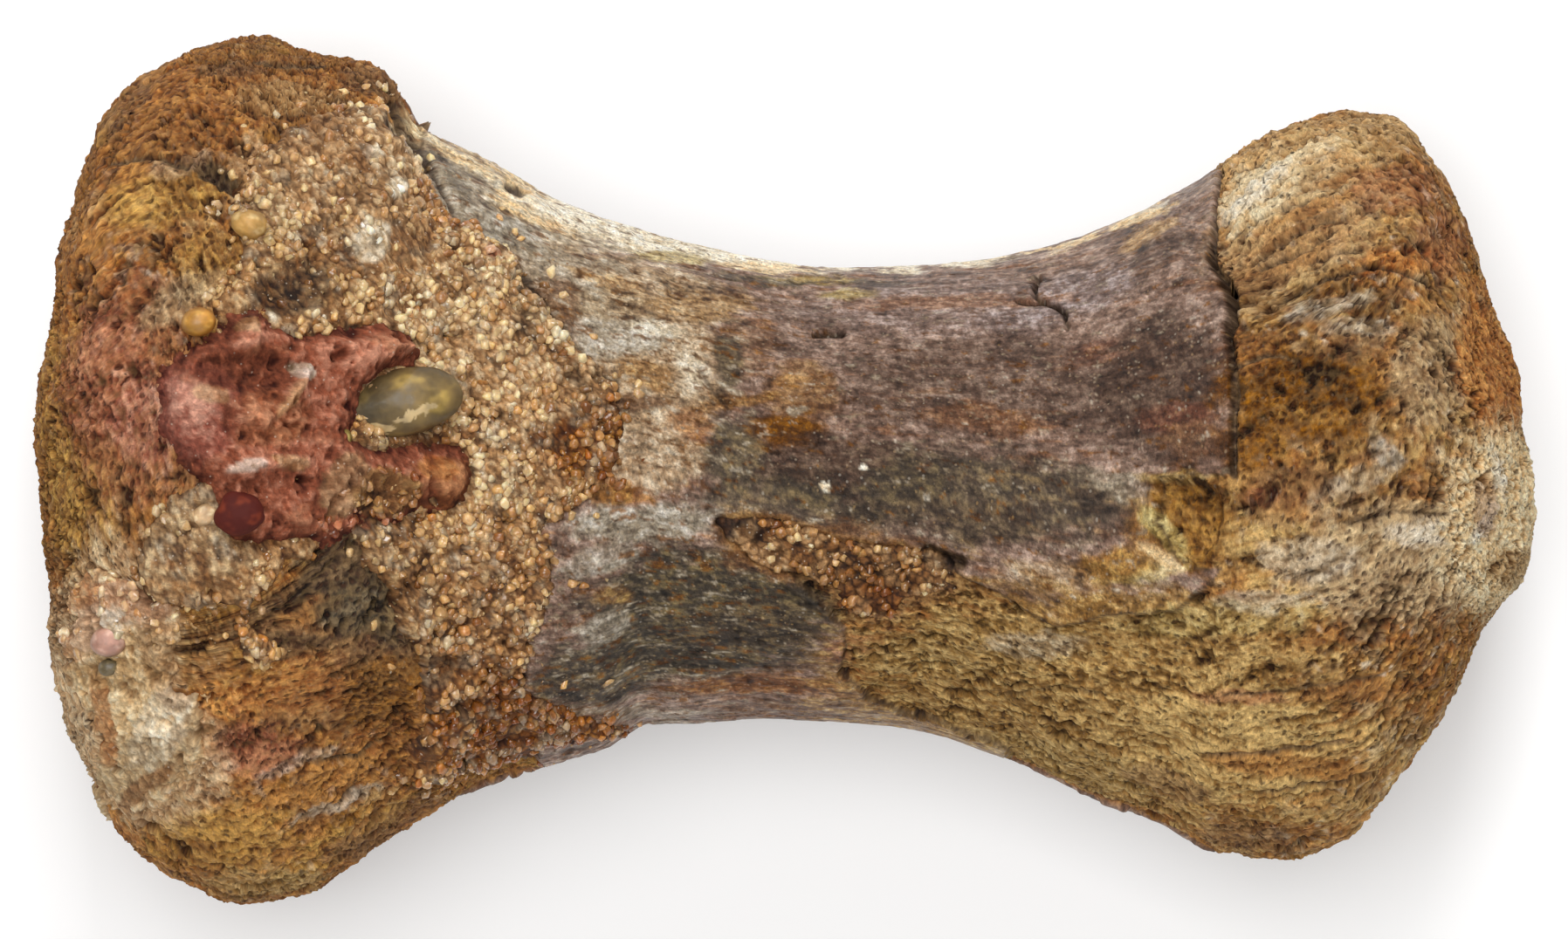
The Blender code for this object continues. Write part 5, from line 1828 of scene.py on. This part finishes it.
@dataclass
class PaleCover(Cover):
    """Limy crust with a knobbly top."""

    name: str = "limy_crust"
    node: str = "pale_crust"
    slot: str = "limy_crust"
    areas: tuple[Area, ...] = PALE_AREA
    x: tuple[float, float] = (-40.0, -29.0)
    angle: tuple[float, float] = (1.5, math.pi + 0.4)
    cell: float = 0.10
    around: float = 44.0
    edge: float = 0.3
    sink: float = 1.3
    fray: float = 0.42
    stains: tuple[Stain, ...] = stains(
        (CLAY_PINK, 150, 690, 60, 30, 0.4), (APRICOT, 160, 820, 90, 110, 0.6, -20),
        (CREAM, 185, 830, 30, 60, 0.5, -30), (CREAM, 110, 720, 40, 30, 0.5),
        (SAND_BROWN, 108, 843, 10, 8, 0.9), (SAND_BROWN, 145, 930, 12, 9, 0.9),
        (OLIVE, 126, 763, 12, 9, 0.8), (ORANGE, 90, 700, 30, 60, 0.5), (RUST, 190, 760, 30, 60, 0.5, 20),
        (PINK_GREY, 140, 880, 60, 40, 0.5), (ORANGE, 120, 820, 14, 60, 0.7, 10),
        (RUST, 170, 900, 40, 12, 0.7, 40), (SAND_BROWN, 210, 850, 16, 50, 0.6, -20),
        (PEACH, 130, 770, 60, 20, 0.6),
    )
    holes: tuple[Bump, ...] = bumps(
        (-0.5, 0.7, 108, 843, 9, 7), (-0.5, 0.7, 145, 930, 10, 8),
    )

    def rise(self) -> Array:
        """Low crust with small knobs and pits.

        Returns:
            Height above the bone's plain form.
        """
        site, near = self.ground.site, self.ground.cemented[0]
        fine = GRAIN.layered(site.points / 0.9 + 5.0, 4, 0.7)
        pits = ease(-GRAIN.layered(site.points / 0.8 + 88.0, 3), 0.14, 0.34)
        cuts = sum(hole.rise(site.u, site.v) for hole in self.holes)
        knobs = 0.08 * ease(0.72 - near, 0.0, 0.5)
        return 0.16 + 0.4 * self.ground.lumps + 0.36 * fine + knobs + cuts - 0.4 * pits

    def colour(self) -> Paint:
        """Pale with pinkish and creamy clouds."""
        return self.stained(LIMY, self.stains)

    def shade(self, rise: Array) -> Array:
        """Painted light on knobs and painted shade in pits and gaps, over the crust's own mottling.

        Args:
            rise: Height of the top.

        Returns:
            0 for the dark tone to 1 for the pale one.
        """
        fine = GRAIN.layered(self.ground.site.points / 0.5 + 15.0, 3, 0.7)
        near, second, _ = self.ground.cemented
        return 0.50 + 0.50 * fine + 0.2 * ease(second - near, 0.02, 0.3) + 0.6 * (rise - 0.25)

    def density(self) -> Array:
        """A few grains in its upper part."""
        site = self.ground.site
        return 0.35 * ease(self.ground.depth, 0.02, 0.12) * ease(-site.v, -760.0, -700.0)


@dataclass
class ClayCover(Cover):
    """The lump of red clay, with a knob, a ridge, a smooth lobe and hollows."""

    name: str = "clay_lump"
    node: str = "red_clay_lump"
    slot: str = "red_clay"
    areas: tuple[Area, ...] = CLAY_AREA
    x: tuple[float, float] = (-34.5, -15.5)
    angle: tuple[float, float] = (0.9, 1.9)
    cell: float = 0.085
    around: float = 20.0
    thickness: float = 0.2
    edge: float = 0.30
    sink: float = 0.1
    fray: float = 0.16
    base: float = 1.05
    bumps: tuple[Bump, ...] = bumps(
        (1, 0.9, 279, 388, 26, 30), (0.8, 0.9, 415, 402, 84, 42, -3), (0.9, 1, 222, 466, 56, 58),
        (0.5, 0.8, 290, 474, 26, 20), (0.45, 0.8, 330, 452, 22, 34, -30), (0.7, 0.9, 508, 545, 38, 36),
        (0.4, 0.7, 470, 548, 20, 20), (0.35, 0.7, 300, 528, 60, 14, 4), (-0.75, 0.5, 275, 428, 66, 26),
        (-0.9, 0.7, 342, 549, 12, 8), (-0.7, 0.7, 327, 489, 12, 5), (-0.6, 0.7, 448, 393, 14, 9, -20),
        (-0.6, 0.7, 474, 398, 10, 9), (-0.6, 0.7, 382, 412, 16, 9), (0.5, 0.7, 528, 530, 16, 14),
        (-0.7, 0.7, 490, 566, 9, 26, 30), (0.5, 0.7, 350, 600, 22, 16, 20),
        (-0.5, 0.7, 375, 580, 8, 24, -30), (-0.6, 0.7, 430, 565, 34, 26),
        (0.25, 0.7, 388, 555, 26, 40, -20), (-0.6, 0.7, 500, 575, 16, 10), (-0.4, 0.7, 262, 484, 10, 22),
        (-0.3, 0.7, 360, 470, 40, 12, 10), (-0.35, 0.7, 300, 556, 50, 12),
    )
    ridges: tuple[Groove, ...] = grooves(
        (8, 1, 254, 364, 288, 370, 320, 384, 350, 390), (6, 0.5, 345, 424, 331, 446, 316, 468, 296, 487),
        (6, 0.4, 262, 538, 300, 532, 345, 524), (7, 0.5, 380, 378, 425, 374, 465, 388),
    )
    stains: tuple[Stain, ...] = stains(
        (CLAY_PINK, 222, 470, 60, 60, 0.9), (PEACH, 243, 456, 22, 12, 0.45, -10),
        (CREAM, 340, 428, 17, 9, 0.6, -20), (PEACH, 322, 458, 8, 28, 0.45, -28),
        (CREAM, 275, 534, 22, 7, 0.4, 6), (PEACH, 325, 530, 26, 8, 0.5, -6),
        (RED, 300, 405, 40, 8, 0.8, 10), (RED, 448, 394, 40, 16, 0.6), (RED, 340, 500, 60, 9, 0.5),
        (RED, 505, 575, 34, 10, 0.8), (RUST, 500, 556, 56, 34, 0.55), (RED, 470, 560, 26, 30, 0.8, 20),
        (RED, 350, 595, 40, 20, 0.7), (RUST, 300, 480, 50, 40, 0.3), (PEACH, 278, 378, 15, 11, 0.5),
        (OLIVE, 385, 556, 26, 44, 0.5, -20), (SAND_BROWN, 432, 566, 40, 30, 0.9),
        (RED, 270, 428, 76, 24, 0.5), (ORANGE, 492, 535, 26, 16, 0.45),
    )

    def rise(self) -> Array:
        """The lump's forms, with a rough skin outside its smooth lobe.

        Returns:
            Height above the bone's plain form.
        """
        site = self.ground.site
        u, v = (0.5 * (raw + rag) for raw, rag in ((site.u, site.ragged_u), (site.v, site.ragged_v)))
        forms = 1.1 * sum(form.rise(u, v) for form in (*self.bumps, *self.ridges))
        calm = ease(Patch(220, 468, 60, 60).depth(u, v), -0.1, 0.3)
        return self.base + forms + (1.0 - 0.8 * calm) * self.crumble() + 0.2 * self.ground.lumps

    def crumble(self) -> Array:
        """Small crumbs, folds and pits of the rough skin.

        Returns:
            Their height.
        """
        place = self.ground.site.points
        folds = 1.0 - 3.0 * np.abs(GRAIN.layered(place / 1.5 + 25.0, 3, 0.6))
        near, second, share = GRAIN.cells(place / 0.75 + 0.4 * GRAIN.smooth(place / 0.6)[..., None] + 45.0)
        pits = ease(0.5 * share - near, 0.0, 0.2)
        crumbs = ease(second - near, 0.0, 0.4)
        return 0.36 * GRAIN.layered(place / 0.8 + 5.0, 4, 0.66) + 0.20 * folds + 0.12 * crumbs - 0.36 * pits

    def colour(self) -> Paint:
        """Red with pink, cream, orange and olive places."""
        return self.stained(CLAY, self.stains)

    def shade(self, rise: Array) -> Array:
        """Painted shade in hollows and painted light on crests, over the clay's own mottling."""
        fine = GRAIN.layered(self.ground.site.points / 0.6 + 62.0, 4, 0.72)
        return 0.45 + 0.50 * fine + 0.85 * self.crumble() + 0.34 * (rise - self.base - 0.2)

    def density(self) -> Array:
        """A few grains where sand shows through.

        Returns:
            How closely grains lie at each point, from 0 to 1.
        """
        site = self.ground.site
        sandy = deepest((Patch(432, 566, 50, 36), Patch(385, 600, 40, 20)), site.ragged_u, site.ragged_v)
        return 0.5 * ease(sandy, 0.0, 0.3) * ease(self.ground.depth, 0.0, 0.1)


@dataclass
class GrainScatter:
    """Grains of one size set on a bed by a node tree, then kept as a plain mesh; lengths in millimetres."""

    name: str
    spacing: float
    most: float
    smallest: float
    largest: float
    corners: int
    sink: float = 0.08
    shape_count: int = 8
    shapes: bpy.types.Collection = field(init=False)
    tree: bpy.types.NodeTree = field(init=False)

    def __post_init__(self) -> None:
        """Makes the grain shapes and the node tree."""
        self.shapes = bpy.data.collections.new("grain_shapes")
        for number in range(self.shape_count):
            mesh = self.shape(number)
            self.shapes.objects.link(bpy.data.objects.new(mesh.name, mesh))
        self.tree = self.make_tree()

    def shape(self, number: int) -> bpy.types.Mesh:
        """One rounded, slightly uneven grain, one millimetre across.

        Args:
            number: Which of the shapes.

        Returns:
            Its mesh.
        """
        build = bmesh.new()
        source = np.random.default_rng(40 + number)
        for way in source.normal(size=(self.corners, 3)):
            way = Vector(way).normalized() * source.uniform(0.45, 0.55) * MM
            build.verts.new(way)
        bmesh.ops.convex_hull(build, input=build.verts[:])
        bmesh.ops.delete(build, geom=[vert for vert in build.verts if not vert.link_faces], context="VERTS")
        bmesh.ops.recalc_face_normals(build, faces=build.faces[:])
        mesh = bpy.data.meshes.new(f"grain_{number}")
        build.to_mesh(mesh)
        build.free()
        mesh.shade_smooth()
        mesh.set_sharp_from_angle(angle=math.radians(58.0))
        return mesh

    @staticmethod
    def make_tree() -> bpy.types.NodeTree:
        """Lays out the nodes that scatter, turn, size and number the grains.

        Returns:
            The tree.
        """
        tree = bpy.data.node_groups.new("scatter_grains", "GeometryNodeTree")
        for label, kind in (("Bed", "NodeSocketGeometry"), ("Shapes", "NodeSocketCollection"),
                            ("Spacing", "NodeSocketFloat"), ("Most", "NodeSocketFloat"),
                            ("Smallest", "NodeSocketFloat"), ("Largest", "NodeSocketFloat"),
                            ("Sink", "NodeSocketFloat"), ("Seed", "NodeSocketInt"),
                            ("Finish", "NodeSocketMaterial")):
            tree.interface.new_socket(label, in_out="INPUT", socket_type=kind)
        tree.interface.new_socket("Grains", in_out="OUTPUT", socket_type="NodeSocketGeometry")
        lay = Shades(tree)
        source, sink = tree.nodes.new("NodeGroupInput").outputs, tree.nodes.new("NodeGroupOutput")
        density = lay.node("GeometryNodeInputNamedAttribute", {"Name": "density"}, data_type="FLOAT")
        points = lay.node("GeometryNodeDistributePointsOnFaces", {
            "Mesh": source["Bed"], "Distance Min": source["Spacing"], "Density Max": source["Most"],
            "Density Factor": density.outputs[0], "Seed": source["Seed"]}, distribute_method="POISSON")
        down = lay.gained(points.outputs["Normal"], source["Sink"])
        sunk = lay.node("GeometryNodeSetPosition", {"Geometry": points.outputs["Points"], "Offset": down})
        spin = lay.node("FunctionNodeRandomValue", {
            "Min": (0.0, 0.0, 0.0), "Max": (2.0 * math.pi,) * 3, "Seed": source["Seed"],
        }, data_type="FLOAT_VECTOR")
        turn = lay.node("FunctionNodeEulerToRotation", {0: spin.outputs[0]})
        small = lay.node("ShaderNodeCombineXYZ", {i: source["Smallest"] for i in range(3)})
        large = lay.node("ShaderNodeCombineXYZ", {i: source["Largest"] for i in range(3)})
        size = lay.node("FunctionNodeRandomValue", {
            "Min": small.outputs[0], "Max": large.outputs[0], "Seed": source["Seed"],
        }, data_type="FLOAT_VECTOR")
        shapes = lay.node("GeometryNodeCollectionInfo", {
            "Collection": source["Shapes"], "Separate Children": True, "Reset Children": True})
        placed = lay.node("GeometryNodeInstanceOnPoints", {
            "Points": sunk.outputs[0], "Instance": shapes.outputs[0], "Pick Instance": True,
            "Rotation": turn.outputs[0], "Scale": size.outputs[0]})
        own = lay.node("FunctionNodeRandomValue", {"Seed": source["Seed"]}, data_type="FLOAT")
        number = lay.node("GeometryNodeStoreNamedAttribute", {
            "Geometry": placed.outputs[0], "Name": "grain", "Value": own.outputs[1]},
            data_type="FLOAT", domain="INSTANCE")
        solid = lay.node("GeometryNodeRealizeInstances", {"Geometry": number.outputs[0]})
        dressed = lay.node("GeometryNodeSetMaterial", {
            "Geometry": solid.outputs[0], "Material": source["Finish"]})
        lay.feed(sink, {0: dressed.outputs[0]})
        return tree

    def scatter(self, bed: bpy.types.Mesh, name: str, material: bpy.types.Material, seed: int,
                ) -> bpy.types.Mesh:
        """Runs the tree on a bed.

        Args:
            bed: The mesh that carries the grains.
            name: Name of the result.
            material: What the grains are made of.
            seed: Which random layout it is.

        Returns:
            The grains as a plain mesh.
        """
        carrier = bpy.data.objects.new(f"{name}_carrier", bed)
        bpy.context.scene.collection.objects.link(carrier)
        modifier = carrier.modifiers.new("grains", "NODES")
        modifier.node_group = self.tree
        wanted = {"Shapes": self.shapes, "Finish": material, "Spacing": self.spacing * MM,
                  "Most": self.most / MM ** 2, "Smallest": self.smallest, "Largest": self.largest,
                  "Sink": -self.sink * MM, "Seed": seed}
        for item in self.tree.interface.items_tree:
            if item.in_out == "INPUT" and item.name in wanted:
                modifier[item.identifier] = wanted[item.name]
        graph = bpy.context.evaluated_depsgraph_get()
        mesh = bpy.data.meshes.new_from_object(carrier.evaluated_get(graph), depsgraph=graph)
        mesh.name = name
        carrier.modifiers.clear()
        bpy.data.objects.remove(carrier)
        for spare in [key for key in mesh.attributes.keys() if key in ("density", "flow")]:
            mesh.attributes.remove(mesh.attributes[spare])
        return mesh


@dataclass(frozen=True)
class Pebble:
    """A water-worn pebble, wider than it is high, set into its seat, with painted shade towards its outline.
    """

    name: str
    slot: str
    half_sizes: tuple[float, float, float]
    turn: float
    base: str
    cloud: str
    # Screen colour of the painted shade towards the outline.
    rim: str
    unevenness: float = 0.07
    rings: int = 56
    coat: tuple[Patch, ...] = ()
    coat_colour: str = "b79f72"
    facets: tuple[tuple[float, float, float, float], ...] = ()
    far_end: str = ""

    def mesh(self, centre: Vector, name: str) -> bpy.types.Mesh:
        """The pebble's closed mesh.

        Args:
            centre: Its middle, in millimetres.
            name: Name of the mesh.

        Returns:
            The mesh.
        """
        rings = max(12, int(self.rings * DETAIL.value))
        columns = 2 * rings
        around = np.linspace(0.0, 2.0 * math.pi, columns, endpoint=False)
        down = np.linspace(0.0, math.pi, rings + 1)[1:-1, None]
        way = np.stack(np.broadcast_arrays(np.sin(down) * np.cos(around), np.sin(down) * np.sin(around),
                                           np.cos(down)), axis=-1)
        way = np.concatenate([way.reshape(-1, 3), [(0.0, 0.0, 1.0), (0.0, 0.0, -1.0)]])
        size = np.array(self.half_sizes)
        worn = 1.0 + self.unevenness * GRAIN.layered(way * 0.9 + 3.0 * size.sum(), 3, 0.45)
        local = way * worn[:, None] * size * (1.0 - 0.5 * self.unevenness)
        for x, y, z, reach in self.facets:
            over = np.maximum(local @ (x, y, z) - reach, 0.0)[:, None]
            local = local - 0.35 * over * (x, y, z)
        turn = Matrix.Rotation(math.radians(self.turn), 3, "Z")
        points = local @ np.array(turn).T + np.array(centre)
        rows = rings - 1
        faces = grid_faces(rows, columns, True)[:, ::-1].tolist()
        top, bottom = rows * columns, rows * columns + 1
        for i in range(columns):
            after = (i + 1) % columns
            faces.append((top, i, after))
            faces.append((bottom, (rows - 1) * columns + after, (rows - 1) * columns + i))
        clouds = GRAIN.layered(local / (0.8 * size) + 9.0, 3, 0.6)[:, None]
        tint = linear(self.base) + ease(clouds, -0.05, 0.4) * (linear(self.cloud) - linear(self.base))
        if self.far_end:
            share = ease(local[:, :1] / size[0] + 0.5 * clouds, -0.9, 0.3)
            tint = linear(self.far_end) + share * (tint - linear(self.far_end))
        # Painted shade: the tint turns to the rim colour towards the pebble's outline, to round it.
        edge = ease(np.hypot(*(local[:, :2] / size[:2]).T), 0.62, 1.0)[:, None]
        tint = tint + 0.8 * edge * (linear(self.rim) - tint)
        for patch in self.coat:
            wander = 0.34 * GRAIN.layered(local / 0.6 + 27.0, 4, 0.7)
            cover = ease(patch.depth(local[:, 0] + wander, -local[:, 1] + wander), 0.0, 0.12)[:, None]
            tint = tint + cover * (linear(self.coat_colour) - tint)
        return new_mesh(name, points, faces, {"tint": tint, "grain": np.full((len(points), 1), 0.5)})


# Each stone's third colour is painted shade towards its outline.
PEBBLES = (
    Pebble("olive_pebble", "olive_quartz", (3.25, 1.85, 1.35), 12.0, "745d2f", "a68a45", "544226", 0.06,
           coat=(Patch(0.5, 0.75, 1.25, 0.30, 12), Patch(-1.9, 1.15, 1.2, 0.34, -6)),
           facets=((-0.29, 0.72, 0.63, 1.25), (0.57, 0.23, 0.79, 1.35), (-0.35, -0.52, 0.78, 1.25)),
           far_end="463d2a"),
    Pebble("amber_pebble", "amber_quartz", (0.95, 0.8, 0.7), 10.0, "b98330", "d3a04a", "8f5c1c", rings=30),
    Pebble("brown_pebble", "brown_clay", (1.45, 1.3, 0.9), 0.0, "4c1207", "742c14", "56190b", 0.22, rings=36),
    Pebble("pink_pebble", "pink_quartz", (1.0, 0.85, 0.6), 5.0, "b08472", "cfaa98", "8f6a50", rings=30),
)


@dataclass(frozen=True)
class SmallStone:
    """A small stone set in a cover: its pebble and where its middle shows on the picture."""

    pebble: Pebble
    cover: str
    x: float
    y: float


# Each stone's third colour is painted shade towards its outline.
SMALL_STONES = (
    SmallStone(Pebble("yellow_stone", "sandstone", (1.15, 0.85, 0.75), -14.0,
                      "b48a48", "d8b87c", "8a6630", 0.20, 24),
               "sandstone", 284, 262),
    SmallStone(Pebble("olive_stone", "sandstone", (0.72, 0.80, 0.60), 20.0,
                      "8d7638", "bba762", "6a5524", 0.16, 20),
               "sandstone", 389, 499),
    SmallStone(Pebble("pale_stone", "sandstone", (0.75, 0.60, 0.50), 40.0,
                      "c2a078", "e6cda4", "97764e", 0.22, 20),
               "sandstone", 236, 590),
    SmallStone(Pebble("grey_stone", "limy_crust", (0.60, 0.48, 0.42), 10.0,
                      "6b5d40", "94845f", "54472e", 0.18, 18),
               "limy_crust", 126, 763),
)


@dataclass
class Studio:
    """The pale table, the soft lights and the camera above them."""

    floor_half: float = 1.2
    floor_colour: Colour = (0.80, 0.80, 0.80)
    floor_glow: float = 0.24
    sky: float = 0.24
    sensor: float = 36.0
    lights: tuple = (("key", (0.06, 0.70, 0.66), 0.34, 4.6), ("top", (-0.10, 0.05, 0.95), 0.50, 5.6),
                     ("low_fill", (0.1, -0.80, 0.50), 0.60, 1.6))

    def build(self) -> None:
        """Makes the floor, the lights and the camera."""
        half = self.floor_half
        mesh = bpy.data.meshes.new("table")
        corners = [(-half, -half, 0), (half, -half, 0), (half, half, 0), (-half, half, 0)]
        mesh.from_pydata(corners, [], [(0, 1, 2, 3)])
        floor = bpy.data.objects.new("table", mesh)
        bpy.context.scene.collection.objects.link(floor)
        material, shades, shader = new_material("pale_table")
        shades.feed(shader, {
            "Base Color": (*self.floor_colour, 1.0), "Roughness": 0.9, "Specular IOR Level": 0.1,
            "Emission Color": (1.0, 1.0, 1.0, 1.0), "Emission Strength": self.floor_glow})
        mesh.materials.append(material)
        for light in self.lights:
            self.light(*light)
        world = bpy.data.worlds.new("studio")
        bpy.context.scene.world = world
        world.use_nodes = True
        sky = Shades(world.node_tree)
        sky.feed(world.node_tree.nodes["Background"], {0: (1.0, 1.0, 1.0, 1.0), 1: self.sky})
        self.camera()
        bpy.context.scene.view_settings.view_transform = "Standard"

    @staticmethod
    def light(name: str, place: tuple[float, float, float], size: float, power: float) -> None:
        """A square soft light that looks at the bone.

        Args:
            name: Its name.
            place: Where it hangs, in metres.
            size: Its side, in metres.
            power: Its power, in watts.
        """
        data = bpy.data.lights.new(name, "AREA")
        data.size, data.energy = size, power
        lamp = bpy.data.objects.new(name, data)
        lamp.location = place
        aim = Vector((0.0, 0.0, LEVEL_IN_FOCUS * MM)) - Vector(place)
        lamp.rotation_euler = aim.to_track_quat("-Z", "Y").to_euler()
        bpy.context.scene.collection.objects.link(lamp)

    def camera(self) -> None:
        """The camera, straight above the bone."""
        data = bpy.data.cameras.new("camera")
        data.sensor_width = self.sensor
        data.lens = self.sensor * CAMERA_HEIGHT / (PICTURE_SIZE[0] * PIXEL)
        data.clip_start, data.clip_end = 0.01, 10.0
        camera = bpy.data.objects.new("camera", data)
        x = (0.5 * PICTURE_SIZE[0] - PICTURE_CENTRE[0]) * PIXEL
        y = (PICTURE_CENTRE[1] - 0.5 * PICTURE_SIZE[1]) * PIXEL
        camera.location = Vector((x, y, LEVEL_IN_FOCUS + CAMERA_HEIGHT)) * MM
        bpy.context.scene.collection.objects.link(camera)
        bpy.context.scene.camera = camera


def main() -> None:
    """Builds every piece in order."""
    logging.basicConfig(level=logging.INFO, format="%(name)s: %(message)s")
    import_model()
    Studio().build()
    effects = Effects()
    Bone().build(BoneFinish().build(effects))
    cement = EarthFinish("sand_cement", 0.70, 4.0, 0.9, 0.06, 0.04).build(effects)
    limy = EarthFinish("limy_crust_surface", 0.85, 3.2, 0.8, 0.10, 0.04).build(effects)
    clay = EarthFinish("clay_surface", 0.9, 3.6, 0.7, 0.09, 0.015).build(effects)
    quartz = QuartzFinish("quartz_grains", 0.20, 0.6, 1.0, 1.6, 1.0).build()
    pebble = QuartzFinish("quartz_pebble", 0.50, 0.25, 0.9, 0.9, 0.0).build()
    baked = EarthFinish("baked_clay", 0.75, 3.0, 0.6, 0.06, 0.02).build(effects)
    scatters = (GrainScatter("coarse", 0.32, 7.0, 0.36, 0.84, 22),
                GrainScatter("fine", 0.20, 11.0, 0.16, 0.40, 13))
    covers = ((SandCover(), cement), (FissureCover(), cement), (PaleCover(), limy), (ClayCover(), clay))
    for number, (cover, material) in enumerate(covers):
        slab, bed = cover.meshes()
        new_piece(slab, material, cover.slot, cover.node)
        for scatter in scatters:
            loose = scatter.scatter(bed, f"{cover.name}_{scatter.name}_grains", quartz, number + 3)
            new_piece(loose, quartz, cover.slot, cover.node)
        bpy.data.meshes.remove(bed)
        for stone in SMALL_STONES:
            if stone.cover == cover.name:
                mesh = stone.pebble.mesh(cover.seat(stone.x, stone.y), stone.pebble.name)
                new_piece(mesh, pebble, cover.slot, cover.node)
    for stone in PEBBLES:
        low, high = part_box(stone.name)
        finish = baked if stone.slot == "brown_clay" else pebble
        new_piece(stone.mesh(0.5 * (low + high) / MM, f"{stone.name}_stone"), finish, stone.slot, stone.name)


if __name__ == "__main__":
    main()
